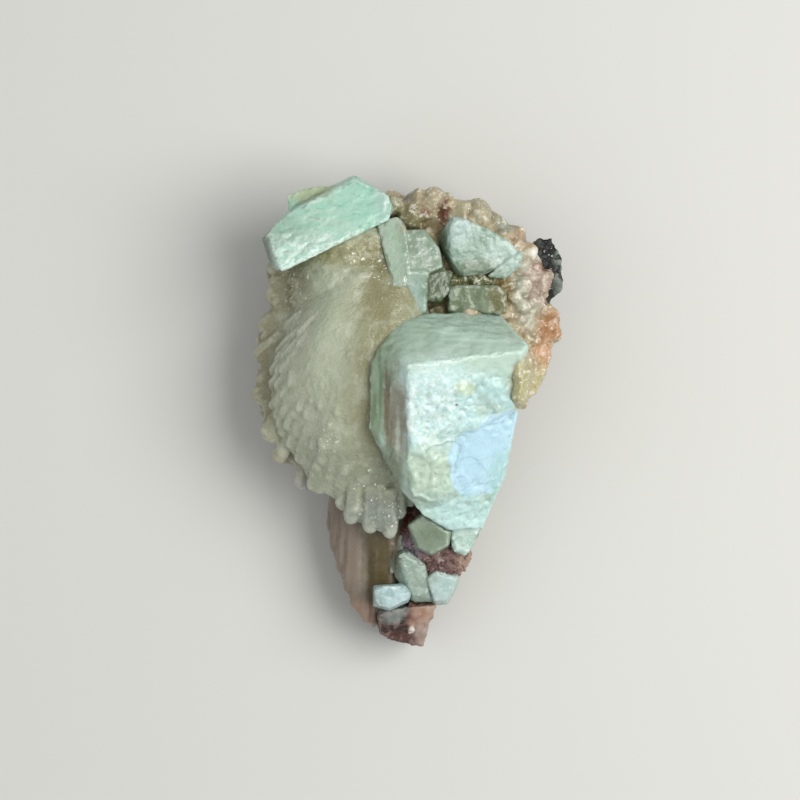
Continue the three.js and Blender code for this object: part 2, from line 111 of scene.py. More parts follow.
def remeshed(piece, voxel, smooth=0):
    """The piece's outer skin as one even mesh, with its edges as soft as the voxel is wide."""
    skin = piece.modifiers.new("skin", "REMESH")
    skin.mode = "VOXEL"
    skin.voxel_size = voxel * MM
    skin.use_smooth_shade = True
    if smooth:
        worn = piece.modifiers.new("worn", "SMOOTH")
        worn.factor = 0.5
        worn.iterations = smooth
    return made_plain(piece)


def largest_body(piece):
    """Leaves only the piece's largest connected body."""
    form = bmesh.new()
    form.from_mesh(piece.data)
    form.verts.ensure_lookup_table()
    bodies, seen = [], set()
    for start in form.verts:
        if start.index in seen:
            continue
        body, edge = [], [start]
        seen.add(start.index)
        while edge:
            vert = edge.pop()
            body.append(vert)
            for link in vert.link_edges:
                other = link.other_vert(vert)
                if other.index not in seen:
                    seen.add(other.index)
                    edge.append(other)
        bodies.append(body)
    bodies.sort(key=len)
    for body in bodies[:-1]:
        bmesh.ops.delete(form, geom=body, context="VERTS")
    form.to_mesh(piece.data)
    form.free()


def numbers(collection, key, width, kind=float):
    """One attribute of all points or edges as an array with one row each."""
    values = np.empty(len(collection) * width, dtype=kind)
    collection.foreach_get(key, values)
    return values.reshape(-1, width)


def displaced(piece, heights):
    """Moves each point along its normal by heights(points, normals), all in millimetres."""
    mesh = piece.data
    points = numbers(mesh.vertices, "co", 3)
    normals = numbers(mesh.vertices, "normal", 3)
    local = (points - np.array(ORIGIN)) / MM
    points += normals * heights(local, normals)[:, None] * MM
    mesh.vertices.foreach_set("co", points.ravel())
    mesh.update()
    return piece


def relief_of(piece, passes=12, strength=4.0):
    """How far each point stands out of the skin round it: 0 in a hollow, 1 on an edge."""
    mesh = piece.data
    points = numbers(mesh.vertices, "co", 3) / MM
    normals = numbers(mesh.vertices, "normal", 3)
    one, other = numbers(mesh.edges, "vertices", 2, np.int32).T
    count = len(points)
    links = np.bincount(one, minlength=count) + np.bincount(other, minlength=count)

    def around(values):
        total = np.bincount(one, values[other], count) + np.bincount(other, values[one], count)
        return total / np.maximum(links, 1)

    evened = points.copy()
    for _ in range(passes):
        evened = 0.5 * evened + 0.5 * np.stack([around(column) for column in evened.T], axis=1)
    rise = ((points - evened) * normals).sum(axis=1)
    rise = 0.5 * rise + 0.5 * around(rise)
    return np.clip(0.5 + strength * rise, 0.0, 1.0)


def with_relief(piece):
    """Keeps the relief as an attribute, which the finishes read to paint edges lighter as highlights and
    hollows darker as shade.
    """
    relief = piece.data.attributes.new("relief", "FLOAT", "POINT")
    relief.data.foreach_set("value", relief_of(piece))
    return piece


def clouds(points, grain, seed, octaves=4):
    """Fractal noise from about -1 to 1, with lumps of about the grain's size."""
    away = Vector((seed * 17.3, seed * 5.1, -seed * 9.7))
    return np.array([noise.fractal(Vector(p) / grain + away, 1.0, 2.0, octaves) for p in points])


def shifted(piece, reach, grain, seed, way=None):
    """Moves each point sideways by a smooth noise, so that edges wander and faces stay flat."""
    mesh = piece.data
    points = numbers(mesh.vertices, "co", 3)
    local = (points - np.array(ORIGIN)) / MM
    noises = np.stack([clouds(local, grain, seed + axis, 2) for axis in range(3)], axis=1)
    out = numbers(mesh.vertices, "normal", 3) if way is None else way
    noises -= (noises * out).sum(axis=1)[:, None] * out
    points += noises * (reach(local)[:, None] if callable(reach) else reach) * MM
    mesh.vertices.foreach_set("co", points.ravel())
    mesh.update()
    return piece


def ramp(values, low, high):
    """0 below low, 1 above high, smooth between."""
    share = np.clip((values - low) / (high - low), 0.0, 1.0)
    return share * share * (3 - 2 * share)


def near(points, centre, reach):
    """1 at the centre of an ellipsoid, 0 outside it."""
    away = (points - np.array(centre)) / np.array(reach)
    return ramp(-np.linalg.norm(away, axis=1), -1.0, -0.3)


def group_tree(name, inputs, outputs):
    """A shader node group with its sockets, and its input and output nodes."""
    tree = bpy.data.node_groups.new(name, "ShaderNodeTree")
    for socket, (kind, value) in inputs.items():
        made = tree.interface.new_socket(socket, in_out="INPUT", socket_type=kind)
        if value is not None:
            made.default_value = value
    for socket, kind in outputs.items():
        tree.interface.new_socket(socket, in_out="OUTPUT", socket_type=kind)
    return tree, tree.nodes.new("NodeGroupInput"), tree.nodes.new("NodeGroupOutput")


def sum_node(nodes, links, operation, a, b):
    """A Math node's output, whose inputs are sockets or plain numbers."""
    node = nodes.new("ShaderNodeMath")
    node.operation = operation
    for socket, value in zip(node.inputs, (a, b)):
        if isinstance(value, (int, float)):
            socket.default_value = value
        else:
            links.new(value, socket)
    return node.outputs[0]


def vector_node(nodes, links, operation, *values):
    """A Vector Math node, whose inputs are sockets."""
    node = nodes.new("ShaderNodeVectorMath")
    node.operation = operation
    for socket, value in zip(node.inputs, values):
        links.new(value, socket)
    return node


def step_node(nodes, links, value, low, high):
    """0 where the value is low, 1 where it is high, smooth between. Low and high can be plain numbers."""
    step = nodes.new("ShaderNodeMapRange")
    step.interpolation_type = "SMOOTHSTEP"
    links.new(value, step.inputs["Value"])
    for key, level in (("From Min", low), ("From Max", high)):
        if isinstance(level, (int, float)):
            step.inputs[key].default_value = level
        else:
            links.new(level, step.inputs[key])
    return step.outputs["Result"]


FLOAT, VECTOR = "NodeSocketFloat", "NodeSocketVector"


def cloud_group():
    """A mask of cloudy patches: where a noise of the given size is above the level."""
    inputs = {
        "Position": (VECTOR, None), "Size": (FLOAT, 0.001), "Detail": (FLOAT, 4.0),
        "Level": (FLOAT, 0.5), "Softness": (FLOAT, 0.1),
    }
    tree, given, result = group_tree("Cloud", inputs, {"Mask": FLOAT})
    nodes, links = tree.nodes, tree.links
    texture = nodes.new("ShaderNodeTexNoise")
    links.new(given.outputs["Position"], texture.inputs["Vector"])
    links.new(sum_node(nodes, links, "DIVIDE", 1.0, given.outputs["Size"]), texture.inputs["Scale"])
    links.new(given.outputs["Detail"], texture.inputs["Detail"])
    level, softness = given.outputs["Level"], given.outputs["Softness"]
    low = sum_node(nodes, links, "SUBTRACT", level, softness)
    high = sum_node(nodes, links, "ADD", level, softness)
    links.new(step_node(nodes, links, texture.outputs["Fac"], low, high), result.inputs["Mask"])
    return tree


def patch_group():
    """A mask of one ragged patch, an ellipsoid in the frame: 1 inside it and 0 away from it."""
    inputs = {
        "Position": (VECTOR, None), "Centre": (VECTOR, None), "Reach": (VECTOR, (0.01, 0.01, 0.01)),
        "Ragged": (FLOAT, 0.3), "Softness": (FLOAT, 0.2), "Grain": (FLOAT, 0.002),
    }
    tree, given, result = group_tree("Patch", inputs, {"Mask": FLOAT})
    nodes, links = tree.nodes, tree.links
    away = vector_node(nodes, links, "SUBTRACT", given.outputs["Position"], given.outputs["Centre"])
    share = vector_node(nodes, links, "DIVIDE", away.outputs[0], given.outputs["Reach"])
    length = vector_node(nodes, links, "LENGTH", share.outputs[0])
    texture = nodes.new("ShaderNodeTexNoise")
    texture.inputs["Detail"].default_value = 4.0
    links.new(given.outputs["Position"], texture.inputs["Vector"])
    links.new(sum_node(nodes, links, "DIVIDE", 1.0, given.outputs["Grain"]), texture.inputs["Scale"])
    shift = sum_node(nodes, links, "SUBTRACT", texture.outputs["Fac"], 0.5)
    shift = sum_node(nodes, links, "MULTIPLY", shift, given.outputs["Ragged"])
    shift = sum_node(nodes, links, "MULTIPLY", shift, 4.0)
    edge = sum_node(nodes, links, "ADD", length.outputs["Value"], shift)
    outer = sum_node(nodes, links, "ADD", 1.0, given.outputs["Softness"])
    inner = sum_node(nodes, links, "SUBTRACT", 1.0, given.outputs["Softness"])
    links.new(step_node(nodes, links, edge, outer, inner), result.inputs["Mask"])
    return tree


CLOUD = cloud_group()
PATCH = patch_group()


class Finish:
    """A material whose colour is laid on in layers, each through a mask over Object coordinates."""

    def __init__(self, name, colour, roughness, **shader):
        self.material = bpy.data.materials.new(name)
        self.material.use_nodes = True
        tree = self.material.node_tree
        self.nodes, self.links = tree.nodes, tree.links
        self.shader = self.nodes["Principled BSDF"]
        for socket, value in shader.items():
            self.shader.inputs[socket.replace("_", " ")].default_value = value
        self.place = self.nodes.new("ShaderNodeTexCoord").outputs["Object"]
        self.colour = linear(colour)
        self.roughness = roughness
        self.height = None

    def masked(self, tree, position=None, **inputs):
        node = self.nodes.new("ShaderNodeGroup")
        node.node_tree = tree
        self.links.new(position or self.place, node.inputs["Position"])
        for socket, value in inputs.items():
            node.inputs[socket].default_value = value
        return node.outputs[0]

    def cloud(self, size, level=0.5, softness=0.08, detail=4.0, position=None):
        values = {"Size": size * MM, "Level": level, "Softness": softness, "Detail": detail}
        return self.masked(CLOUD, position, **values)

    def patch(self, centre, reach, ragged=0.25, softness=0.25, grain=3.0):
        middle = Vector(centre) * MM + ORIGIN
        values = {"Centre": middle, "Reach": Vector(reach) * MM, "Ragged": ragged}
        return self.masked(PATCH, Softness=softness, Grain=grain * MM, **values)

    def relief(self, start, end):
        """1 where the skin stands out as much as end, 0 where only as much as start."""
        shape = self.nodes.new("ShaderNodeAttribute")
        shape.attribute_name = "relief"
        return step_node(self.nodes, self.links, shape.outputs["Fac"], start, end)

    def stretched(self, scale, turn=(0, 0, 0)):
        """Object coordinates turned and stretched, for streaks."""
        mapping = self.nodes.new("ShaderNodeMapping")
        mapping.inputs["Rotation"].default_value = turn
        mapping.inputs["Scale"].default_value = scale
        self.links.new(self.place, mapping.inputs["Vector"])
        return mapping.outputs["Vector"]

    def both(self, a, b):
        return sum_node(self.nodes, self.links, "MULTIPLY", a, b)

    def lay(self, colour, mask, strength=1.0):
        """Lays a colour over what is there, where the mask is 1."""
        mix = self.nodes.new("ShaderNodeMix")
        mix.data_type = "RGBA"
        if strength < 1.0:
            mask = self.both(mask, strength)
        self.links.new(mask, mix.inputs["Factor"])
        under, over = [socket for socket in mix.inputs if socket.type == "RGBA"]
        if isinstance(self.colour, list):
            under.default_value = self.colour
        else:
            self.links.new(self.colour, under)
        over.default_value = linear(colour)
        self.colour = [socket for socket in mix.outputs if socket.type == "RGBA"][0]

    def stains_and_painted_shade(self, *rows):
        """Lays on one ragged patch after another, stains and painted shade alike: (colour, strength, the
        patch's values) each.
        """
        for colour, strength, *shape in rows:
            self.lay(colour, self.patch(*shape), strength)

    def mottle_and_glints(self, colour, strength, patch, cloud):
        """Lays a colour in the clouds of one patch, for mottling and for painted glints."""
        self.lay(colour, self.both(self.patch(*patch), self.cloud(*cloud)), strength)

    def gloss(self, mask, low, high):
        """Roughness from low to high by a mask."""
        step = self.nodes.new("ShaderNodeMapRange")
        self.links.new(mask, step.inputs["Value"])
        step.inputs["To Min"].default_value = low
        step.inputs["To Max"].default_value = high
        self.roughness = step.outputs["Result"]

    def bumps(self, mask, depth):
        """Adds fine relief of that depth in millimetres."""
        raised = self.both(mask, depth * MM)
        if self.height is not None:
            raised = sum_node(self.nodes, self.links, "ADD", self.height, raised)
        self.height = raised

    def done(self):
        if isinstance(self.colour, list):
            self.shader.inputs["Base Color"].default_value = self.colour
        else:
            self.links.new(self.colour, self.shader.inputs["Base Color"])
        if isinstance(self.roughness, (int, float)):
            self.shader.inputs["Roughness"].default_value = self.roughness
        else:
            self.links.new(self.roughness, self.shader.inputs["Roughness"])
        if self.height is not None:
            bump = self.nodes.new("ShaderNodeBump")
            bump.inputs["Distance"].default_value = 1.0
            self.links.new(self.height, bump.inputs["Height"])
            self.links.new(bump.outputs["Normal"], self.shader.inputs["Normal"])
        return self.material


def placed(piece, material, slot, *nodes):
    """The finished piece rides on the one body and stands for its CAD nodes."""
    piece.data.materials.clear()
    piece.data.materials.append(material)
    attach(piece, "root")
    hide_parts(*nodes)


def rock_relief(points, normals):
    lift = 1 - ramp(-normals[:, 2], 0.15, 0.6)
    lumps = 0.9 * clouds(points, 6.0, 1, 5) - 0.3 * np.abs(clouds(points, 3.0, 5, 3))
    grit = 0.2 * clouds(points, 1.1, 2, 3)
    lump = near(points, (30, 31, 17), (7, 11, 9))
    blisters = lump * (0.7 * np.abs(clouds(points, 2.2, 3, 3)) - 0.2)
    tip = 0.6 * near(points, (-1, -45, 13), (8, 9, 12)) * clouds(points, 2.4, 4, 4)
    return ROCK_GROWTH * lift + lift * (lumps - 0.35 + grit + blisters + tip)


rock = displaced(remeshed(cad_copy("basalt_rock", "basalt_matrix"), ROCK_VOXEL), rock_relief)
with_relief(rock)
basalt = Finish("Basalt", "2e2e2b", 0.7, Specular_IOR_Level=0.5)
basalt.lay("45473f", basalt.cloud(1.2, 0.56, 0.12), 0.6)
basalt.lay("1f1e1c", basalt.cloud(3.0, 0.54, 0.16), 0.7)
basalt.lay("5a5248", basalt.cloud(6.0, 0.6, 0.1), 0.5)
# painted highlight on the rock's raised edges, and painted shade in its hollows
basalt.lay("666e64", basalt.relief(0.65, 0.95), 0.35)
basalt.lay("151413", basalt.relief(0.4, 0.15), 0.8)
basalt.lay("121313", basalt.patch((30.8, 31, 17), (3.6, 8, 9), 0.2), 0.85)
basalt.mottle_and_glints("8b968c", 0.85, ((33.2, 31, 18), (2.2, 9, 9), 0.3, 0.4, 2), (1.8, 0.44, 0.06))
# painted glints: white specks on the black lump's left side stand for reflections of the light
basalt.mottle_and_glints("dfe4e0", 1.0, ((29.4, 30, 19), (1.2, 6, 4), 0.3), (0.7, 0.66, 0.02))
basalt.stains_and_painted_shade(
    ("93a595", 0.9, (15, -25.4, 12), (3.6, 5, 12), 0.2),
    ("8a5f52", 0.8, (12, -33, 12), (3.4, 4, 12), 0.3),
)
tip = basalt.patch((-1, -45, 14), (9, 8.4, 12), 0.15)
basalt.lay("3f2e29", tip)
basalt.lay("2f201b", basalt.both(tip, basalt.cloud(3.0, 0.5, 0.15)), 0.8)
basalt.lay("66504a", basalt.both(tip, basalt.cloud(1.4, 0.58, 0.06)), 0.6)
basalt.stains_and_painted_shade(
    ("5a3a34", 0.7, (-1.5, -48.6, 12), (6, 1.6, 6), 0.4, 0.5),
    ("a68c79", 0.9, (4.0, -43, 16), (3.6, 3.4, 6), 0.5, 0.5, 2),
    ("8a5f4c", 0.7, (1.4, -43.4, 16), (1.8, 2.6, 6), 0.5, 0.5, 2),
    ("ad9a8f", 0.7, (3.0, -47.6, 13), (2.0, 3.0, 6), 0.5, 0.5, 2),
    ("7b8581", 0.9, (-3.4, -42.6, 16.5), (3.2, 2.4, 5), 0.35, 0.4, 2),
    ("e6dcd4", 0.9, (0.6, -46.4, 14), (0.7, 0.8, 3), 0.7, 0.4, 1),
)
# painted highlight: the tip's raised edges are laid paler
basalt.lay("a8948a", basalt.both(tip, basalt.relief(0.68, 0.95)), 0.3)
basalt.gloss(basalt.cloud(0.8), 0.4, 0.9)
basalt.bumps(basalt.cloud(0.5, 0.5, 0.3), 0.06)
placed(rock, basalt.done(), "basalt", "basalt_matrix")

# The main stilbite sheaf: hundreds of thin pearly blades that fan out from one waist and are grown
# together into a waxy dome. Their ends make the left rim, in steps, and at the foot they hang over
# the lower sheaf as rounded fingers.
SHEAF_VOXEL = 0.36
MAIN_WAIST = (-5.0, 33.0)
FRONT_ENDS = [
    (-158, 6), (-110, 5), (-63, 6), (-41.6, 13), (-23.5, 25), (-13.7, 38), (-6, 50), (0, 52.4),
    (11.6, 52.4), (16.5, 51.6), (19.2, 50), (21.5, 47.6), (28, 45), (34.4, 41.8), (38.8, 38.6),
    (43.3, 34.4), (48, 29.4), (57, 23.6), (75, 20.8), (96, 18.8), (131.6, 12.4),
]
REAR_ENDS = [
    (-158, 4), (-41.6, 8), (-6, 44), (8, 49), (13, 52.2), (19, 52), (27, 49.6), (34, 46.8), (42, 41.4),
    (53, 34.2), (67, 27.2), (83, 25.2), (96, 24), (131.6, 9),
]
REAR_TIERS = [(0.93, 13.0, 8), (0.955, 15.0, 9), (0.975, 17.0, 10), (0.985, 18.8, 12)]
REAR_SPACING = 3.6
SHINGLE_ROWS = [
    (1.0, 0.9, 0.1), (0.955, 0.8, 0.16), (0.9, 0.65, 0.14), (0.84, 0.5, 0.12), (0.77, 0.35, 0.08),
    (0.69, 0.25, 0.05),
]
FINGERS = [
    (-14.3, -20.6, 3.1), (-12.3, -23.6, 3.0), (-10.2, -23.2, 2.6), (-8.2, -25.6, 3.4), (-6.1, -25.2, 2.2),
    (-4.0, -26.8, 3.3), (-1.8, -22.6, 3.0), (0.4, -20.0, 3.0),
]
BLADE_SPACING = 2.2
LAST_ANGLE = 94
PAINTED_GLINTS = [
    ((-17, -6, 30), (3, 4, 8)), ((-8, -16, 28), (5, 4.6, 8)), ((-22.6, 16, 28), (1.6, 2, 6)),
    ((-10.6, 32.6, 32), (2.6, 2, 6)), ((-6.6, 29.6, 32), (3, 4, 6)), ((-4, -22, 26), (6, 4, 6)),
    ((-24, 26, 25), (4, 6, 6)),
]
REAR_SHRINK = 0.955


def blade_form(name, shoulder):
    """A blade 1 long, 1 wide and 1 thick along +X, round at its end, which is the origin."""
    form = bmesh.new()
    around, along = 12, 8
    rings = []
    for i in range(along):
        share = 1 - (1 - i / (along - 1)) ** 1.6
        taper = math.sqrt(max(0.04, 1 - (max(0.0, share - shoulder) / (1 - shoulder)) ** 2.2))
        ring = []
        for j in range(around):
            turn = 2 * math.pi * j / around
            side = math.copysign(abs(math.cos(turn)) ** 0.75, math.cos(turn)) * 0.5 * taper
            up = math.copysign(abs(math.sin(turn)) ** 0.7, math.sin(turn)) * 0.5 * taper ** 0.7
            ring.append(form.verts.new((share - 1, side, up)))
        rings.append(ring)
    for low, high in zip(rings, rings[1:]):
        for j in range(around):
            form.faces.new((low[j], high[j], high[(j + 1) % around], low[(j + 1) % around]))
    form.faces.new(rings[0])
    form.faces.new(list(reversed(rings[-1])))
    bmesh.ops.recalc_face_normals(form, faces=form.faces)
    return form_object(name, form)


def block_form():
    """A square crystal 1 wide with a low peak and flat facets, rooted below the origin."""
    form = bmesh.new()
    bmesh.ops.create_cube(form, size=1.0)
    for vert in form.verts:
        vert.co.z = 0.2 if vert.co.z > 0 else -0.5
    top = [face for face in form.faces if all(vert.co.z > 0 for vert in face.verts)]
    peak = bmesh.ops.poke(form, faces=top)["verts"][0]
    peak.co.z = 0.5
    piece = form_object("block", form)
    mesh = piece.data
    heights = [vert.co.z for vert in mesh.vertices]
    # The relief is set by height, not measured: it rises towards the peak, so a finish's painted edge
    # highlight falls on the tip.
    relief = mesh.attributes.new("relief", "FLOAT", "POINT")
    relief.data.foreach_set("value", [0.45 if z < 0 else 0.5 + 0.3 * z for z in heights])
    mesh.shade_flat()
    return piece


def growth_tree():
    """Sets one form on every carrier, turned and sized as the carrier says, round a core."""
    tree = bpy.data.node_groups.new("Growth", "GeometryNodeTree")
    for name, kind in (
        ("Carriers", "NodeSocketGeometry"), ("Form", "NodeSocketObject"), ("Core", "NodeSocketObject"),
        ("Size spread", "NodeSocketFloat"), ("Seed", "NodeSocketInt"), ("Material", "NodeSocketMaterial"),
    ):
        tree.interface.new_socket(name, in_out="INPUT", socket_type=kind)
    tree.interface.new_socket("Geometry", in_out="OUTPUT", socket_type="NodeSocketGeometry")
    nodes, links = tree.nodes, tree.links
    given = nodes.new("NodeGroupInput")
    form = nodes.new("GeometryNodeObjectInfo")
    core = nodes.new("GeometryNodeObjectInfo")
    links.new(given.outputs["Form"], form.inputs["Object"])
    links.new(given.outputs["Core"], core.inputs["Object"])
    turn = nodes.new("GeometryNodeInputNamedAttribute")
    turn.data_type = "FLOAT_VECTOR"
    turn.inputs["Name"].default_value = "turn"
    size = nodes.new("GeometryNodeInputNamedAttribute")
    size.data_type = "FLOAT_VECTOR"
    size.inputs["Name"].default_value = "size"
    spread = nodes.new("FunctionNodeRandomValue")
    spread.data_type = "FLOAT"
    low, high = [socket for socket in spread.inputs if socket.type == "VALUE"][:2]
    links.new(sum_node(nodes, links, "SUBTRACT", 1.0, given.outputs["Size spread"]), low)
    links.new(sum_node(nodes, links, "ADD", 1.0, given.outputs["Size spread"]), high)
    links.new(given.outputs["Seed"], spread.inputs["Seed"])
    scaled = nodes.new("ShaderNodeVectorMath")
    scaled.operation = "SCALE"
    links.new(size.outputs["Attribute"], scaled.inputs[0])
    links.new([socket for socket in spread.outputs if socket.type == "VALUE"][0], scaled.inputs["Scale"])
    rotation = nodes.new("FunctionNodeEulerToRotation")
    links.new(turn.outputs["Attribute"], rotation.inputs["Euler"])
    stand = nodes.new("GeometryNodeInstanceOnPoints")
    links.new(given.outputs["Carriers"], stand.inputs["Points"])
    links.new(form.outputs["Geometry"], stand.inputs["Instance"])
    links.new(rotation.outputs["Rotation"], stand.inputs["Rotation"])
    links.new(scaled.outputs["Vector"], stand.inputs["Scale"])
    both = nodes.new("GeometryNodeJoinGeometry")
    links.new(core.outputs["Geometry"], both.inputs["Geometry"])
    links.new(stand.outputs["Instances"], both.inputs["Geometry"])
    real = nodes.new("GeometryNodeRealizeInstances")
    links.new(both.outputs["Geometry"], real.inputs["Geometry"])
    painted = nodes.new("GeometryNodeSetMaterial")
    links.new(real.outputs["Geometry"], painted.inputs["Geometry"])
    links.new(given.outputs["Material"], painted.inputs["Material"])
    result = nodes.new("NodeGroupOutput")
    links.new(painted.outputs["Geometry"], result.inputs["Geometry"])
    return tree


GROWTH = growth_tree()


def grown(name, carriers, form, core, material, spread=0.1, seed=1):
    """A core with the forms on its carriers: (place, turn, size) each. It takes the core's place."""
    mesh = bpy.data.meshes.new(name)
    mesh.from_pydata([Vector(place) * MM + ORIGIN for place, _, _ in carriers], [], [])
    for key, values in (
        ("turn", [turn for _, turn, _ in carriers]),
        ("size", [[s * MM for s in size] for _, _, size in carriers]),
    ):
        attribute = mesh.attributes.new(key, "FLOAT_VECTOR", "POINT")
        attribute.data.foreach_set("vector", np.array(values, dtype=float).ravel())
    piece = add_object(name, mesh)
    modifier = piece.modifiers.new("growth", "NODES")
    modifier.node_group = GROWTH
    inputs = {"Form": form, "Core": core, "Size spread": spread, "Seed": seed, "Material": material}
    for socket in GROWTH.interface.items_tree:
        if socket.in_out == "INPUT" and socket.name in inputs:
            modifier[socket.identifier] = inputs[socket.name]
    made_plain(piece)
    bpy.data.objects.remove(core)
    piece.name = name
    return piece


def scattered(piece, count, sizes, lean, seed, spots=()):
    """Carriers over a piece's outer faces, each leaning out of its face; only in the spots, if any."""
    rng = np.random.default_rng(seed)
    mesh = piece.data
    mesh.calc_loop_triangles()
    points = (numbers(mesh.vertices, "co", 3) - np.array(ORIGIN)) / MM
    corners = points[numbers(mesh.loop_triangles, "vertices", 3, np.int32)]
    middles = corners.mean(axis=1)
    cross = np.cross(corners[:, 1] - corners[:, 0], corners[:, 2] - corners[:, 0])
    areas = np.linalg.norm(cross, axis=1)
    outward = cross / np.maximum(areas, 1e-9)[:, None]
    areas = areas * (outward[:, 2] > -0.35)
    if spots:
        areas = areas * sum(near(middles, *spot) for spot in spots)
    carriers = []
    for i in rng.choice(len(areas), size=count, p=areas / areas.sum()):
        way = Vector(outward[i]) + Vector(rng.normal(0, lean, 3))
        spin = Euler((0, 0, rng.uniform(0, math.tau))).to_matrix()
        turned = (way.to_track_quat("Z", "Y").to_matrix() @ spin).to_euler()
        size = rng.uniform(*sizes)
        carriers.append((middles[i], tuple(turned), (size, size * rng.uniform(0.7, 1.3), size)))
    return carriers


class Dome:
    """A rounded body: how far it reaches from its middle at each angle, counted from straight down
    towards -X, and how its crown falls to its rim over a flat foot."""

    def __init__(self, middle, ends, crown, rim, foot, belly=0.0, swell=4.0):
        self.middle, self.ends = middle, ends
        self.crown, self.rim, self.foot, self.belly, self.swell = crown, rim, foot, belly, swell
        self.longest = max(reach for _, reach in ends)

    def reach(self, angle):
        angles, reaches = zip(*self.ends)
        return float(np.interp(angle, angles, reaches, period=360))

    def height(self, share, angle):
        inside = min(share, 1.0)
        bulge = 4 * self.belly * inside * (1 - inside) * self.reach(angle) / self.longest
        return self.rim + (self.crown - self.rim) * (1 - inside ** self.swell) + bulge

    def point(self, share, angle, z=None):
        away = self.reach(angle) * share
        turn = math.radians(angle)
        x = self.middle[0] - math.sin(turn) * away
        y = self.middle[1] - math.cos(turn) * away
        return (x, y, self.height(share, angle) if z is None else z)

    def blade(self, share, angle, size, rise=0.0, z=None, pitch=None, roll=0.0):
        """A carrier: a blade whose tip is at that share of the way out, its root under the skin."""
        length, width, thick = size
        tip = self.point(share, angle, z)
        back = self.point(share - length / self.reach(angle), angle)
        slope = math.atan2(back[2] - 1.2 - tip[2], length) if pitch is None else math.radians(pitch)
        place = (tip[0], tip[1], tip[2] + rise - thick / 2)
        return place, (roll, slope, math.radians(-90 - angle)), size

    def angles(self, share, spacing, first, last):
        """Angles a blade's spacing apart at that share of the reach."""
        angle, found = first, []
        while angle < last:
            found.append(angle)
            angle += math.degrees(spacing / max(4.0, self.reach(angle) * share))
        return found

    def body(self, name, sunk=0.0, shrink=1.0, steps=120, rings=14):
        """The dome itself as a closed mesh, its crown sunk and its rim drawn in a little."""
        form = bmesh.new()
        turns = [360 * j / steps - 180 for j in range(steps)]

        def vert(share, angle, z):
            return form.verts.new(Vector(self.point(share, angle, z)) * MM + ORIGIN)

        rows = []
        for i in range(1, rings + 1):
            share = 1 - (1 - i / rings) ** 1.3
            rows.append([vert(shrink * share, turn, self.height(share, turn) - sunk) for turn in turns])
        rows.append([vert(shrink * 0.97, turn, (self.rim + self.foot) / 2) for turn in turns])
        rows.append([vert(shrink * 0.86, turn, self.foot) for turn in turns])
        top = vert(0.0, 0.0, self.crown - sunk)
        bottom = vert(0.0, 0.0, self.foot)
        for j in range(steps):
            k = (j + 1) % steps
            form.faces.new((top, rows[0][k], rows[0][j]))
            form.faces.new((bottom, rows[-1][j], rows[-1][k]))
            for high, low in zip(rows, rows[1:]):
                form.faces.new((high[j], high[k], low[k], low[j]))
        bmesh.ops.recalc_face_normals(form, faces=form.faces)
        return form_object(name, form)


def ends_of(middle, outline):
    """How far an outline reaches from the middle, at the angle of each of its corners."""
    ends = []
    for x, y in outline:
        away = (middle[0] - x, middle[1] - y)
        ends.append((math.degrees(math.atan2(*away)), math.hypot(*away)))
    return sorted(ends)


def joined(name, *parts):
    """One object with all the meshes; the parts are removed."""
    form = bmesh.new()
    for part in parts:
        form.from_mesh(part.data)
        bpy.data.objects.remove(part)
    return form_object(name, form)


draw = np.random.default_rng(7)


def about(value, spread):
    return float(value + draw.uniform(-spread, spread))


blade = blade_form("blade", 0.8)
block = block_form()
rear = Dome(MAIN_WAIST, REAR_ENDS, 26.0, 18.6, 10.0, 0.0, 2.0)
front = Dome(MAIN_WAIST, FRONT_ENDS, 29.6, 21.2, 11.0, 7.0, 4.0)
main_blades = []
for tier, (share, z, slope) in enumerate(REAR_TIERS):
    for angle in rear.angles(share, REAR_SPACING, 9 + 1.7 * tier, LAST_ANGLE):
        size = (about(11, 3), about(3.9, 1.3), about(2.9, 0.9))
        where = (about(share, 0.035), about(angle, 2.4))
        main_blades.append(
            rear.blade(*where, size, z=about(z, 1.2), pitch=about(slope, 8), roll=about(0, 0.25))
        )
for row, (share, crowd, rise) in enumerate(SHINGLE_ROWS):
    for angle in front.angles(share, BLADE_SPACING, -6 + 1.3 * (row % 2), LAST_ANGLE):
        if draw.random() > crowd or angle < 10 and share > 0.9:
            continue
        size = (about(8, 2), about(2.7, 0.5), 1.8)
        where = (about(share, 0.02), about(angle, 1.2))
        main_blades.append(front.blade(*where, size, rise=about(rise, 0.08), roll=about(0, 0.1)))
for x, y, width in FINGERS:
    away = (MAIN_WAIST[0] - x, MAIN_WAIST[1] - y)
    angle = math.degrees(math.atan2(*away))
    share = math.hypot(*away) / front.reach(angle)
    size = (11, width, 2.6)
    main_blades.append(front.blade(share, angle, size, z=about(22.2, 0.4), pitch=about(17, 2)))


def main_relief(points, normals):
    """Fine ribs along the blades, under broad swellings."""
    away = points[:, :2] - np.array(MAIN_WAIST)
    reach = np.linalg.norm(away, axis=1)
    angle = np.arctan2(-away[:, 0], -away[:, 1])
    along = np.stack([angle * 30, reach * 0.33, points[:, 2] * 0.2], axis=1)
    scales = np.stack([angle * 30, reach * 0.5, points[:, 2] * 0.5], axis=1)
    ribs = clouds(along, 1.8, 13, 3) * ramp(reach, 6, 44)
    lumps = near(points, (-13, 31, 30), (15, 9, 12))
    return (
        0.05 + 0.15 * ribs + 0.25 * clouds(points, 6.0, 11, 4) + 0.16 * np.abs(clouds(scales, 1.1, 12, 3))
        + lumps * (0.6 * clouds(points, 3.4, 14, 2) + 0.2 * np.abs(clouds(points, 1.2, 15, 2)))
    )


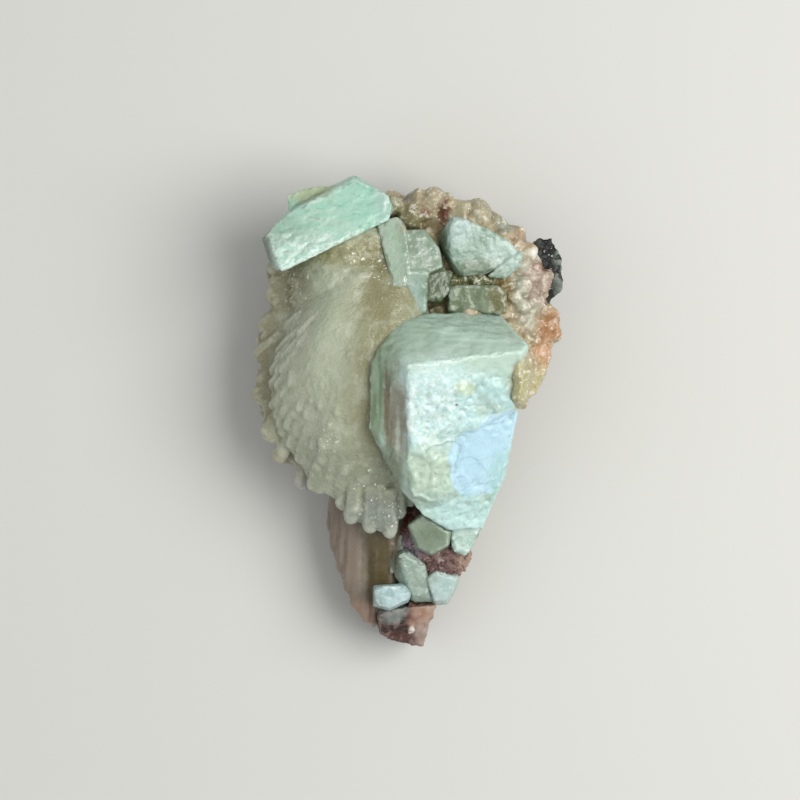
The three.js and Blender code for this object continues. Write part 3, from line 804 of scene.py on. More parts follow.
stilbite = Finish(
    "Stilbite", "a6ab94", 0.4, Subsurface_Weight=0.4, Subsurface_Scale=0.0025, Coat_Weight=0.2,
    Coat_Roughness=0.15,
)
stilbite.shader.inputs["Subsurface Radius"].default_value = (1.0, 0.95, 0.7)
stilbite.stains_and_painted_shade(
    ("b3bba4", 0.8, (-16, 10, 30), (11, 26, 14), 0.3, 0.6, 8),
    ("7f7a58", 0.85, (-27, 28.6, 24), (7, 8, 14), 0.25, 0.5, 6),
    ("8f8a5f", 0.8, (-13, 33.4, 30), (12, 3.6, 10), 0.3, 0.5, 4),
    ("7d7952", 0.8, (-4.4, 28, 30), (5.6, 11, 14), 0.2, 0.6, 6),
    # darker olive beside the large crystal: the stilbite's own olive, with painted shade next to the
    # crystal
    ("87835d", 0.8, (-5, 5, 34), (7.8, 22, 14), 0.25, 0.6, 6),
    # the left rim darker and browner: the rear blades' own translucent brown, with painted shade on the
    # side away from the light
    ("857f62", 0.85, (-31.5, 12, 16), (6, 26, 6.4), 0.2, 0.4, 5),
    ("8d866f", 0.8, (-25, -11, 15), (9, 8, 6), 0.2, 0.4, 5),
    ("b3a5b4", 0.6, (-22, -15.4, 17), (2.4, 1.6, 4), 0.3, 0.4, 2),
    ("979d88", 0.7, (-14, -14, 26), (12, 8, 10), 0.25, 0.5, 4),
    ("889086", 0.9, (-6, -24, 22), (11, 6, 8), 0.25, 0.5, 4),
)
stilbite.lay("c6cab8", stilbite.cloud(3.0, 0.6, 0.1), 0.35)
# painted highlight on the blades' raised edges, and painted shade in the hollows between them
stilbite.lay("d0d4c6", stilbite.relief(0.62, 1.0), 0.25)
stilbite.lay("7d7554", stilbite.relief(0.36, 0.08), 0.35)
stilbite.lay("6b664c", stilbite.cloud(0.5, 0.76, 0.03, 2.0), 0.5)
# painted glints: sparse white specks in these patches stand for reflections of the light on small facets
for centre, reach in PAINTED_GLINTS:
    painted_glint = stilbite.both(stilbite.patch(centre, reach, 0.4, 0.5, 2), stilbite.cloud(0.7, 0.66, 0.02, 2.0))
    stilbite.lay("f4f6ee", painted_glint, 0.9)
stilbite.gloss(stilbite.cloud(0.7, 0.5, 0.12), 0.14, 0.46)
stilbite.bumps(stilbite.cloud(0.5, 0.5, 0.3), 0.08)
stilbite_material = stilbite.done()
main_core = joined("main_core", front.body("front_body", 0.3), rear.body("rear_body", 0.0, REAR_SHRINK))
main_sheaf = grown("main_sheaf", main_blades, blade, main_core, stilbite_material, 0.08, 3)
largest_body(remeshed(main_sheaf, SHEAF_VOXEL))
with_relief(displaced(main_sheaf, main_relief))
placed(main_sheaf, stilbite_material, "stilbite", "stilbite_main_sheaf")

# The lower sheaf: long brownish ribs that hang almost side by side from under the main one, with
# their ends in steps along the left edge down to the rock's tip, and a recess on their right, painted dark
# as the shadow under the main sheaf.
LOWER_OUTLINE = [
    (0, 0), (-8, -3), (-13.4, -12), (-14.4, -19), (-14, -26), (-11.6, -34), (-9.4, -40.4), (-7, -44.6),
    (-3.4, -44), (-0.6, -36), (2, -26), (3, -12),
]
RIBS = [
    (-16.0, -26.0, 11.6, 7, 16, 3.4), (-15.2, -30.6, 12.2, 5, 20, 3.6), (-13.8, -35.0, 13.0, 4, 24, 3.6),
    (-12.3, -39.4, 13.6, 3, 28, 3.6), (-11.0, -42.6, 13.6, 2, 30, 3.4), (-9.4, -45.0, 13.0, 1, 32, 3.0),
    (-7.6, -46.2, 12.0, 0, 32, 2.8), (-9.0, -38.6, 14.2, 1, 24, 3.6), (-7.0, -39.6, 13.4, 0, 26, 3.4),
    (-5.0, -38.4, 12.8, -2, 25, 3.6), (-3.0, -35.6, 12.0, -5, 24, 3.4), (-1.0, -32.0, 12.0, -8, 20, 3.4),
    (-15.4, -27.8, 8.0, 6, 16, 3.4), (-14.4, -32.4, 8.6, 4, 20, 3.4), (-13.0, -36.8, 9.4, 3, 24, 3.4),
    (-11.4, -41.0, 10.0, 2, 28, 3.4), (-9.6, -44.2, 9.4, 1, 30, 3.2), (-7.4, -45.4, 8.6, 0, 30, 3.0),
]
rib = blade_form("rib", 0.88)
ribs = []
for x, y, z, angle, length, width in RIBS:
    slope = math.asin(min(0.5, (17.4 - z) / length))
    ribs.append(((x, y, z - 2.0), (0.0, slope, math.radians(-90 - angle)), (length, width * 1.15, 4.6)))


def lower_relief(points, normals):
    along = points * np.array([1.0, 0.12, 0.5])
    return 0.05 + 0.14 * clouds(along, 1.8, 16, 2) + 0.16 * clouds(points, 4.0, 17, 3)


brown = Finish(
    "Brown stilbite", "776a58", 0.42, Subsurface_Weight=0.35, Subsurface_Scale=0.0025, Coat_Weight=0.15,
    Coat_Roughness=0.2,
)
brown.shader.inputs["Subsurface Radius"].default_value = (1.0, 0.8, 0.6)
brown.stains_and_painted_shade(
    ("827466", 0.9, (-13.4, -32, 12), (3.4, 16, 10), 0.2, 0.5, 5),
    # painted shadow: the recess under the main sheaf's fingers is laid dark olive-brown
    ("52461f", 0.9, (-6.4, -30, 14), (3.6, 10, 8), 0.25, 0.5, 5),
    ("8a8274", 0.6, (-10, -33, 13), (1.2, 12, 6), 0.3, 0.5, 4),
    ("9c8370", 0.85, (-9.4, -45, 11), (4, 5, 8), 0.25, 0.5, 4),
)
# painted highlight on the ribs' raised edges, and painted shade in the hollows between them
brown.lay("92867a", brown.relief(0.62, 1.0), 0.25)
brown.lay("44372a", brown.relief(0.36, 0.06), 0.35)
brown.gloss(brown.cloud(1.0, 0.5, 0.2), 0.25, 0.5)
brown.bumps(brown.cloud(0.6, 0.5, 0.3), 0.04)
brown_material = brown.done()
LOWER_MIDDLE = (-4, -6)
lower = Dome(LOWER_MIDDLE, ends_of(LOWER_MIDDLE, LOWER_OUTLINE), 17.0, 11.8, 5.4, 2.0, 3.0)
lower_sheaf = grown("lower_sheaf", ribs, rib, lower.body("lower_body"), brown_material, 0.02, 5)
largest_body(remeshed(lower_sheaf, SHEAF_VOXEL))
with_relief(displaced(lower_sheaf, lower_relief))
placed(lower_sheaf, brown_material, "stilbite", "stilbite_lower_sheaf")
bpy.data.objects.remove(blade)
bpy.data.objects.remove(rib)

# The large apophyllite: a squarish milky green crystal with a glassy left side, an etched white
# front in raised layers, and a smooth pearly face where its corner was cleaved off. That face is painted
# pale blue as a sky reflection, and shade is painted under the front's left edge and at its lower left.
APOPHYLLITE_VOXEL = 0.3
FRONT_WAY = np.array([0.287, -0.384, 1.0]) / np.linalg.norm([0.287, -0.384, 1.0])


def apophyllite(name, colour, **shader):
    """A milky green finish."""
    values = {
        "Subsurface_Weight": 0.4, "Subsurface_Scale": 0.003, "Coat_Weight": 0.15, "Coat_Roughness": 0.3,
    }
    values.update(shader)
    finish = Finish(name, colour, 0.35, **values)
    finish.shader.inputs["Subsurface Radius"].default_value = (0.7, 1.0, 0.85)
    return finish


def polished_with_painted_light(finish, edge="e8f2ec", hollow="75806a"):
    """The last layers of an apophyllite: edges painted pale as a highlight, hollows painted darker as
    shade, and a fine grain.
    """
    finish.lay(edge, finish.both(finish.relief(0.65, 1.0), finish.cloud(1.6, 0.5, 0.1)), 0.35)
    finish.lay(hollow, finish.relief(0.34, 0.05), 0.35)
    finish.gloss(finish.cloud(1.4, 0.5, 0.15), 0.22, 0.5)
    finish.bumps(finish.cloud(0.5, 0.5, 0.3), 0.04)
    return finish.done()


def crystal(name, node, voxel, relief, wear=0.35, wander=0.4, growth=0.2, way=None, soft=2):
    """A copy of a CAD crystal with wandering, chipped edges and its own etching."""
    piece = shifted(remeshed(cad_copy(name, node), voxel, soft), wander, 3.0, 19, way)
    edges = ramp(relief_of(piece), 0.6, 0.95)

    def worn(points, normals):
        chips = wear * edges * ramp(clouds(points, 2.2, 18, 3), -0.2, 0.5)
        return growth - chips + relief(points, normals)

    return with_relief(displaced(piece, worn))


def large_relief(points, normals):
    x, y = points[:, 0], points[:, 1]
    front = ramp(normals @ FRONT_WAY, 0.88, 0.97)
    cleaved = near(points, (15.5, -9.5, 30), (9, 9, 14))
    upper = ramp(y - 0.13 * x + 1.5 * clouds(points, 4.0, 26, 3), 4.0, 7.0)
    etched = front * (1 - 0.85 * upper) * (1 - cleaved)
    lumps = 0.75 * clouds(points, 4.6, 21, 3) + 0.55 * np.abs(clouds(points, 2.8, 22, 2)) - 0.2
    lumps = lumps + 0.13 * clouds(points, 0.7, 28, 2)
    left = ramp(-normals[:, 0], 0.35, 0.7)
    streaks = clouds(points * np.array([1.0, 0.1, 0.5]), 0.9, 24, 3) * left
    line = x + 4.4 + 0.045 * (y - 5) + 0.4 * clouds(points, 3.0, 27, 3)
    crack = left * np.exp(-(line / 0.5) ** 2) * ramp(y, -13, -8) * ramp(-y, -10, -6)
    bands = clouds(points * np.array([0.12, 1.0, 1.0]), 0.8, 25, 3) * upper
    return etched * lumps + 0.1 * streaks + 0.04 * bands + 0.03 * clouds(points, 1.0, 23, 2) - 0.6 * crack


CLEAVED_SKY_REFLECTION = [
    ((14.2, -9.6, 31), (6.4, 6.8, 12)), ((18.4, -4.6, 33), (4.6, 4.4, 12)),
    ((12.8, -13.6, 29), (4.2, 4.4, 12)), ((20.8, -2.4, 33), (2.6, 2.8, 12)),
    ((16, -13.4, 27), (2.8, 4, 12)),
]


def large_wander(points):
    return 0.3 + 1.0 * near(points, (10, -10, 34), (17, 13, 16))


large = crystal(
    "large_apophyllite", "apophyllite_large", APOPHYLLITE_VOXEL, large_relief,
    wear=0.35, wander=large_wander, growth=0.1, way=FRONT_WAY, soft=14,
)
paint = apophyllite("Large apophyllite", "aec6b8")
paint.lay("96ab8e", paint.patch((-6, 8, 38), (4, 12, 10), 0.15, 0.4, 5), 0.9)
paint.lay("768a68", paint.both(
    paint.patch((-6, 2, 36), (4, 16, 10), 0.15, 0.4, 5),
    paint.cloud(1.2, 0.5, 0.1, 3.0, paint.stretched((1.0, 0.12, 0.4))),
), 0.7)
paint.stains_and_painted_shade(
    # painted shade: the crystal's lower left is laid darker, where it turns away from the light
    ("6c745a", 0.75, (-4, -12, 33), (3.4, 5, 7), 0.2, 0.5, 3),
    ("b8cfc2", 0.8, (12, 10, 44), (14, 5, 8), 0.15, 0.5, 5),
)
paint.lay("c3dacd", paint.both(
    paint.patch((11, 14, 40), (16, 8, 10), 0.2, 0.5, 4),
    paint.cloud(1.4, 0.52, 0.12, 4.0, paint.stretched((0.25, 1.0, 1.0), (0, 0, -0.1))),
), 0.8)
paint.stains_and_painted_shade(
    ("8fa58e", 0.5, (2, 14, 38), (5, 7, 9), 0.3, 0.5, 4),
    ("b4cabc", 0.7, (12, 12, 42), (14, 3.4, 6), 0.3, 0.6, 3),
    ("bfdddb", 0.95, (5, -1, 44), (9, 11, 9), 0.15, 0.3, 5),
    ("b9dada", 0.9, (13, 1, 42), (10, 7, 9), 0.2, 0.3, 5),
)
paint.mottle_and_glints("d8e8e4", 0.5, ((4.4, 1, 44), (6, 10, 9), 0.25, 0.35, 3), (2.0, 0.46, 0.1))
paint.mottle_and_glints("e2efec", 0.6, ((6, 0, 44), (9, 11, 9), 0.25, 0.35, 3), (0.7, 0.54, 0.06))
paint.mottle_and_glints("a3b8aa", 0.4, ((6, -2, 44), (10, 12, 9), 0.25, 0.35, 3), (0.8, 0.64, 0.05))
paint.mottle_and_glints("b0c2b0", 0.45, ((10, 0, 42), (12, 7, 9), 0.3, 0.3, 4), (1.8, 0.6, 0.06))
paint.stains_and_painted_shade(
    ("c9d4ae", 0.6, (11.5, 5, 43), (2.2, 1.6, 6), 0.5, 0.5, 2),
    ("acb49c", 0.35, (16.4, 0.4, 41), (2.6, 3.2, 6), 0.5, 0.5, 2),
    ("c4d2ba", 0.5, (4.2, -12.5, 38), (5.5, 5.5, 7), 0.35, 0.5, 3),
)
# painted reflection: the smooth cleaved face is laid pale blue as a reflection of the sky
for centre, reach in CLEAVED_SKY_REFLECTION:
    paint.lay("bbdceb", paint.patch(centre, reach, 0.08, 0.1, 3))
paint.lay("a8d0ce", paint.patch((19.6, -14, 27), (3, 6, 9), 0.2, 0.4, 3), 0.7)
paint.lay("dceff0", paint.both(
    paint.patch((17.6, -14, 27), (4, 4.4, 9), 0.3, 0.4, 3),
    paint.cloud(0.8, 0.58, 0.04, 4.0, paint.stretched((1.0, 0.2, 1.0), (0, 0, 0.6))),
), 0.4)
paint.stains_and_painted_shade(
    ("bcdcda", 0.85, (12, -22, 27), (8, 4.5, 9), 0.2, 0.4, 3),
    # painted shade: a grey-brown band under the front face's left edge, where the side face falls into
    # shade
    ("85806e", 0.9, (-2.6, -1, 40), (2.2, 10, 7), 0.3, 0.5, 3),
    ("6b533c", 0.7, (-4.6, 1, 40), (0.6, 8, 6), 0.3, 0.5, 2),
    ("bcc6b8", 0.7, (-2.4, -6, 41), (0.5, 5.5, 6), 0.5, 0.5, 2),
    ("543f2a", 1.0, (9.8, 1.4, 43), (0.6, 0.3, 4), 0.3, 0.4, 1),
    ("a2a380", 0.9, (22.7, 5.6, 38), (1.8, 5, 9), 0.2, 0.25, 2),
)
placed(large, polished_with_painted_light(paint, "cfe2da", "8fa095"), "apophyllite", "apophyllite_large")

# The long plate across the top of the main sheaf: a mint green apophyllite with mottled etching
# along its lower edge, a whitish end and a stepped olive back.


def etched(depth, grain, seed, streak=0.05):
    """Etching of that depth, in low steps, with growth lines across the sides."""
    def relief(points, normals):
        up = np.clip(normals[:, 2], 0, 1)
        pits = clouds(points, grain, seed, 5) + 0.6 * np.abs(clouds(points, grain * 0.5, seed + 4, 3))
        steps = np.floor(2.5 * clouds(points, grain * 2.2, seed + 3, 2)) / 2.5
        lines = clouds(points * np.array([0.15, 0.15, 1.0]), 0.6, seed + 1, 2) * (1 - up)
        return depth * up * (pits + 0.5 * steps) + streak * lines + 0.03 * clouds(points, 0.8, seed + 2, 2)
    return relief


def plate_relief(points, normals):
    """Scratches and low steps along the plate's length, deeper towards its lower edge."""
    x, y = points[:, 0], points[:, 1]
    along = np.stack([(0.87 * x + 0.49 * y) * 0.4, 0.87 * y - 0.49 * x, points[:, 2]], axis=1)
    up = np.clip(normals[:, 2], 0, 1)
    depth = up * (0.12 + 0.2 * ramp(24 - y - 0.5 * x, -6, 2))
    steps = np.floor(3 * clouds(along, 3.4, 34, 2)) / 3
    grains = ramp(24 - y - 0.5 * x, -6, 2) * clouds(points, 0.8, 33, 2)
    scratches = 0.06 * clouds(along, 0.6, 32, 2)
    return depth * (clouds(along, 1.3, 31, 5) + 1.2 * steps) + scratches + 0.12 * up * grains


plate = crystal("plate_apophyllite", "apophyllite_plate", APOPHYLLITE_VOXEL, plate_relief, 0.5, 0.5, soft=3)
paint = apophyllite("Plate apophyllite", "a1ccb9")
along_plate = paint.stretched((0.35, 1.0, 1.0), (0, 0, math.radians(-29)))
paint.lay("b3ccbd", paint.both(
    paint.patch((-21, 35, 33), (11, 8, 8), 0.3, 0.4, 4), paint.cloud(1.2, 0.46, 0.12, 4, along_plate),
), 0.9)
paint.lay("c6dad0", paint.both(
    paint.patch((-22, 33, 33), (9, 4, 8), 0.3, 0.4, 4), paint.cloud(0.7, 0.5, 0.1, 4, along_plate),
), 0.9)
paint.mottle_and_glints("d4e4dc", 0.6, ((-22, 32.6, 33), (10, 4.4, 8), 0.3, 0.4, 4), (0.6, 0.52, 0.06))
paint.lay("809f8d", paint.cloud(0.8, 0.6, 0.06, 4, along_plate), 0.4)
paint.lay("b4d4c6", paint.cloud(2.4, 0.56, 0.1, 4, along_plate), 0.4)
paint.stains_and_painted_shade(
    ("86a492", 0.5, (-24.8, 37.6, 33), (4.4, 3, 6), 0.25, 0.5, 3),
    ("a4c3b7", 0.9, (-4.6, 43.6, 32), (2.6, 5, 8), 0.2, 0.4, 3),
    ("b0b892", 0.8, (-21, 46, 23), (7, 3, 9), 0.2, 0.4, 3),
    # painted shade: the plate's left end is laid dark olive, as the side away from the light
    ("4e553b", 0.8, (-31, 34, 24), (3.2, 9, 15), 0.2, 0.5, 3),
)
placed(plate, polished_with_painted_light(paint), "apophyllite", "apophyllite_plate")

# The upper apophyllites: a group of grey-green prisms and blocks beside the plate, the paler wedge
# at the upper right, and the flat one that closes the gap behind the large crystal.
middle = crystal("middle_apophyllites", "apophyllite_middle", 0.26, etched(0.16, 1.8, 41))
paint = apophyllite("Middle apophyllites", "a6bca6", Transmission_Weight=0.3, IOR=1.53, Coat_Weight=0.5,
    Coat_Roughness=0.12)
paint.lay("b8ccba", paint.cloud(2.0, 0.56, 0.1), 0.7)
paint.stains_and_painted_shade(
    ("b2cdc2", 0.85, (1.5, 23.4, 30), (2.4, 5, 6), 0.2, 0.4, 2),
    ("c0d8c0", 0.9, (-4.6, 33, 31), (3.4, 9, 7), 0.2, 0.4, 3),
    ("97ad97", 0.8, (2.6, 35, 31), (4, 4, 6), 0.3, 0.5, 3),
    ("a8ac90", 0.8, (-1.2, 39, 30), (1.4, 2.2, 4), 0.2, 0.4, 2),
)
paint.lay("c6d4c8", paint.both(
    paint.cloud(0.8, 0.54, 0.05, 4.0, paint.stretched((1.0, 0.3, 1.0), (0, 0, 0.3))),
    paint.cloud(3.0, 0.48, 0.08),
), 0.7)
paint.lay("586a46", paint.patch((6.8, 26.4, 26), (5.4, 5, 6), 0.1, 0.4, 3))
placed(middle, polished_with_painted_light(paint), "apophyllite", "apophyllite_middle")

wedge = crystal("wedge_apophyllite", "apophyllite_wedge", 0.26, etched(0.18, 2.6, 51), 0.45, 0.3)
paint = apophyllite("Wedge apophyllite", "92ad9c", Transmission_Weight=0.2, IOR=1.53, Coat_Weight=0.3,
    Coat_Roughness=0.12)
paint.stains_and_painted_shade(
    ("c4d8d0", 0.8, (20, 33, 28), (4, 3.4, 6), 0.3, 0.4, 3),
    ("b8cfcc", 0.8, (10.4, 38.4, 29), (3.4, 3.4, 6), 0.3, 0.4, 3),
)
paint.lay("a5bdb0", paint.cloud(2.4, 0.54, 0.1), 0.6)
paint.stains_and_painted_shade(
    ("4a5c40", 0.9, (7.0, 32.6, 26), (1.6, 6, 6), 0.1, 0.3, 3),
    ("76856c", 0.8, (14, 29.6, 28), (5, 2.4, 6), 0.25, 0.5, 3),
)
placed(wedge, polished_with_painted_light(paint), "apophyllite", "apophyllite_wedge")

back = crystal("back_apophyllite", "apophyllite_back", 0.26, etched(0.16, 2.0, 61))
paint = apophyllite("Back apophyllite", "7b8b6c", Transmission_Weight=0.3, IOR=1.53, Coat_Weight=0.5,
    Coat_Roughness=0.12)
paint.lay("97a688", paint.cloud(2.4, 0.52, 0.1), 0.7)
paint.lay("7c774a", paint.patch((19.8, 24, 26), (3.0, 5, 5), 0.2, 0.4, 2), 0.85)
placed(back, polished_with_painted_light(paint), "apophyllite", "apophyllite_back")

# The lower apophyllites, from the large one down to the tip: an olive rhomb and its pale neighbour,
# rounded blocks with a thin leaf, and a white block above the rock's tip.
rhomb = crystal("rhomb_apophyllite", "apophyllite_lower_rhomb", 0.22, etched(0.06, 2.4, 71, 0.02), 0.2, 0.1)
paint = apophyllite("Rhomb apophyllite", "92a48e", Transmission_Weight=0.2, IOR=1.53)
paint.stains_and_painted_shade(
    ("75856a", 0.6, (4.4, -26, 23), (3, 2.4, 4), 0.2, 0.5, 2),
    ("a3b09c", 0.6, (2.8, -22.8, 24), (3, 1.6, 3), 0.2, 0.5, 2),
)
placed(rhomb, polished_with_painted_light(paint), "apophyllite", "apophyllite_lower_rhomb")

edge_crystal = crystal("edge_apophyllite", "apophyllite_edge", 0.22, etched(0.14, 1.6, 81))
paint = apophyllite("Pale apophyllite", "a3bcb2")
paint.lay("bbd1c8", paint.cloud(1.6, 0.52, 0.1), 0.7)
placed(edge_crystal, polished_with_painted_light(paint), "apophyllite", "apophyllite_edge")

lower_group = crystal("lower_apophyllites", "apophyllite_lower_group", 0.24, etched(0.2, 2.0, 91), 0.5, 0.3)
paint = apophyllite("Lower apophyllites", "a2b6a8", Transmission_Weight=0.2, IOR=1.53)
paint.lay("b4c6bc", paint.cloud(1.8, 0.54, 0.1), 0.7)
paint.stains_and_painted_shade(
    ("c8e0e0", 0.7, (8, -38, 18), (3.4, 4, 5), 0.3, 0.4, 2),
    ("5c5a38", 0.8, (-3.8, -30.6, 16), (2.2, 5, 6), 0.2, 0.5, 3),
)
placed(lower_group, polished_with_painted_light(paint), "apophyllite", "apophyllite_lower_group")

tip_block = crystal("tip_apophyllite", "apophyllite_tip_block", 0.22, etched(0.16, 1.8, 101), 0.4, 0.25)
paint = apophyllite("White apophyllite", "9fb9ba")
paint.lay("b9ced0", paint.cloud(1.8, 0.48, 0.1), 0.8)
paint.lay("88968a", paint.patch((-7, -40, 18), (2, 3, 4), 0.3, 0.5, 2), 0.6)
placed(tip_block, polished_with_painted_light(paint), "apophyllite", "apophyllite_tip_block")

# The drusy crust round the upper crystals: small blocky crystals on larger lumps, glassy tan with
# pink and orange stains, grown over the rock's right side.
DRUSE_VOXEL = 0.34
CRUST_MIDDLE = (14, 32)
CRUST_OUTLINE = [
    (-8, 43), (-6, 34), (-2, 22), (4, 12), (14, 4), (20, 1), (23.8, 1), (26.2, 5), (28.2, 9.4),
    (30.6, 14), (31, 18), (28.2, 22.4), (28, 29), (25.4, 34.8), (19.4, 38.6), (13.4, 42.6), (6, 45.2),
    (-3, 45.2),
]
CRUST_LUMPS = [(60, (3.4, 5.4), 0.5), (120, (1.8, 3.2), 0.6)]
CRUST_GRAINS = [((25.2, 20, 21), (3.4, 12, 8)), ((28, 28, 20), (4, 6, 8)), ((27, 8, 20), (4, 9, 8))]
CRUST_KNOBS = [
    (0.2, 41.4, 24.5, 6), (2.4, 44.4, 22.4, 4.6), (5.2, 44.8, 22.6, 4.8), (7.8, 43.8, 23, 4.6),
    (-2.8, 43.2, 25.4, 4.4), (10.6, 42, 23, 5.6), (14.6, 41.2, 22.6, 5.4), (18, 39.4, 22.4, 5),
    (20.6, 37, 22, 4.4), (22.8, 34.8, 22.6, 4), (25, 33.6, 22, 4.4), (15.4, 27.7, 24.6, 4.4),
    (11.6, 28.0, 24.4, 3.4), (20.8, 27.6, 23.4, 4.4), (26.2, 30.4, 21.6, 3.6), (27.8, 27.6, 21, 4.4),
    (24, 26.6, 23.4, 4), (26.4, 23.2, 22, 4), (23.8, 22, 23.6, 3.4), (29.4, 17.8, 20, 5.6),
    (27.6, 12.4, 20.4, 4.6), (25, 15, 22.6, 3.4), (26, 8, 21, 3.6), (25, 4.4, 20.6, 3.4),
]
LOBE_GRAINS = [((25.6, 6, 26), (3.4, 9, 9)), ((24.6, 12, 24), (4, 6, 8)), ((24, 5, 20), (5, 9, 7))]
AMBER_LOBES = [
    ((22.9, 8.4, 30.8), (4.4, 8, 18), 0.1), ((22.2, 4.6, 30.6), (4.2, 8.4, 18), -0.15),
    ((25, 12, 26), (4, 9, 12), 0.4),
]


def knob_form():
    """A rounded block 1 wide, mostly below the origin."""
    form = bmesh.new()
    bmesh.ops.create_icosphere(form, subdivisions=2, radius=1.0)
    for vert in form.verts:
        for axis in range(3):
            vert.co[axis] = math.copysign(abs(vert.co[axis]) ** 0.7, vert.co[axis]) * 0.5
        vert.co.z -= 0.12
    return form_object("knob", form)


def facet_form():
    """A square block 1 wide with cut corners, mostly below the origin."""
    form = bmesh.new()
    bmesh.ops.create_cube(form, size=0.9)
    bmesh.ops.translate(form, verts=form.verts, vec=(0, 0, -0.14))
    bmesh.ops.bevel(form, geom=form.edges[:] + form.verts[:], offset=0.12, segments=1, affect="EDGES")
    return form_object("facet", form)


def crust_relief(points, normals):
    lift = ramp(normals[:, 2], -0.6, 0.0) * (1 - 0.8 * near(points, (14, 28, 26), (7, 3.4, 5)))
    grains = 0.25 * np.abs(clouds(points, 1.5, 46, 3)) + 0.08 * clouds(points, 0.7, 47, 2)
    return lift * (0.4 * clouds(points, 5.0, 45, 3) + grains - 0.1)


crust_dome = Dome(CRUST_MIDDLE, ends_of(CRUST_MIDDLE, CRUST_OUTLINE), 24.2, 17.8, 11.0, 0.0, 3.0)
crust_core = remeshed(crust_dome.body("crust_dome"), 0.8)
crust_lumps = []
for seed, (count, sizes, lean) in enumerate(CRUST_LUMPS):
    crust_lumps += scattered(crust_core, count, sizes, lean, seed)
for x, y, z, wide in CRUST_KNOBS:
    turn = (about(0, 0.5), about(0, 0.5), about(0, 0.8))
    crust_lumps.append(((x, y, z - 0.3 * wide), turn, (wide, about(wide, 0.6), 1.4 * wide)))
crust_lumps += scattered(crust_core, 200, (0.8, 1.8), 0.5, 5, CRUST_GRAINS)
paint = Finish(
    "Drusy crust", "a09272", 0.35, Subsurface_Weight=0.4, Subsurface_Scale=0.0025, Coat_Weight=0.25,
    Coat_Roughness=0.12,
)
paint.shader.inputs["Subsurface Radius"].default_value = (1.0, 0.9, 0.7)
paint.lay("b6a88a", paint.cloud(3.0, 0.5, 0.1), 0.8)
paint.stains_and_painted_shade(
    ("b4b79e", 0.8, (-2.8, 43.4, 25), (2.4, 2.8, 6), 0.2, 0.4, 3),
    ("565c2e", 1.0, (14, 27, 23), (9, 5, 9), 0.2, 0.4, 3),
    ("746d4a", 0.9, (6, 22.6, 22), (5, 5, 8), 0.25, 0.4, 3),
    ("77643c", 0.9, (6.6, 33, 23), (2.4, 6, 8), 0.25, 0.4, 3),
    ("7d6939", 0.8, (20.6, 27, 22), (2.2, 4.4, 8), 0.3, 0.5, 3),
    ("787450", 0.9, (0.4, 41.4, 23), (4.4, 3.6, 8), 0.25, 0.4, 3),
    ("a89e84", 0.8, (5, 44.6, 22), (4.4, 2.8, 8), 0.35, 0.5, 3),
    ("a19b7e", 0.8, (14.5, 42.4, 22), (6.5, 3.2, 8), 0.35, 0.5, 3),
    ("8b9080", 0.9, (20.8, 39.4, 21), (2.4, 2.2, 6), 0.25, 0.4, 3),
    ("b2b6a6", 0.85, (25.4, 25, 22), (3.2, 7, 8), 0.35, 0.5, 3),
    ("b39d90", 0.8, (28.4, 27, 21), (3.4, 5, 8), 0.45, 0.5, 2),
    ("a58e73", 0.8, (25, 37, 21), (3.6, 2.4, 8), 0.35, 0.4, 2),
    ("8e604c", 0.8, (28.6, 30.6, 21), (2.6, 0.9, 8), 0.3, 0.5, 1.5),
    ("aa7b51", 0.9, (30.4, 18, 20), (3.4, 3.6, 8), 0.3, 0.45, 3),
    ("c49672", 0.8, (28.6, 12, 20), (2.4, 3.4, 8), 0.4, 0.45, 3),
    ("b9b184", 0.8, (26.6, 6, 20), (3.2, 5, 8), 0.3, 0.45, 3),
    ("d8d4ca", 0.9, (27, 33.2, 21), (1.6, 1.4, 5), 0.3, 0.4, 2),
    ("6b3020", 0.85, (7.3, 41.4, 24), (1.2, 2.6, 6), 0.8, 0.4, 1.2),
    ("7a4030", 0.7, (3.5, 42, 24), (1.0, 0.8, 4), 0.5, 0.4, 1.4),
    ("a9a67c", 0.9, (22.4, 6, 36), (3.8, 8, 8), 0.2, 0.3, 3),
)
# painted highlight: the lumps' raised edges are laid pale
paint.lay("ddd8cc", paint.both(paint.relief(0.62, 0.95), paint.cloud(1.0, 0.54, 0.06)), 0.6)
# painted glints: sparse white specks stand for reflections on small facets
paint.lay("f2f2ea", paint.cloud(0.6, 0.68, 0.02, 2.0), 0.8)
# painted shade: the hollows between the lumps are laid darker
paint.lay("7c6444", paint.relief(0.34, 0.06), 0.4)
paint.gloss(paint.cloud(0.8, 0.5, 0.12), 0.18, 0.5)
paint.bumps(paint.cloud(0.6, 0.5, 0.3), 0.08)
crust_material = paint.done()
knob, facet, lobe = knob_form(), facet_form(), blade_form("lobe", 0.6)
crust = grown("crust", crust_lumps[::2], knob, crust_core, crust_material, 0.1, 7)
crust = grown("crust", crust_lumps[1::2], facet, crust, crust_material, 0.1, 6)
lobes = [((x, y - long / 2, z), (0, 0, math.radians(-90) + turn), (long, wide, deep))
         for (x, y, z), (wide, long, deep), turn in AMBER_LOBES]
crust = grown("crust", lobes, lobe, crust, crust_material, 0.0, 7)
beside_lobes = scattered(crust, 160, (1.0, 2.6), 0.5, 11, LOBE_GRAINS)
crust = grown("crust", beside_lobes, knob, crust, crust_material, 0.1, 8)
crust = with_relief(displaced(remeshed(crust, DRUSE_VOXEL, 2), crust_relief))
for form in (knob, facet, lobe):
    bpy.data.objects.remove(form)
placed(crust, crust_material, "drusy_crust", "drusy_crust")

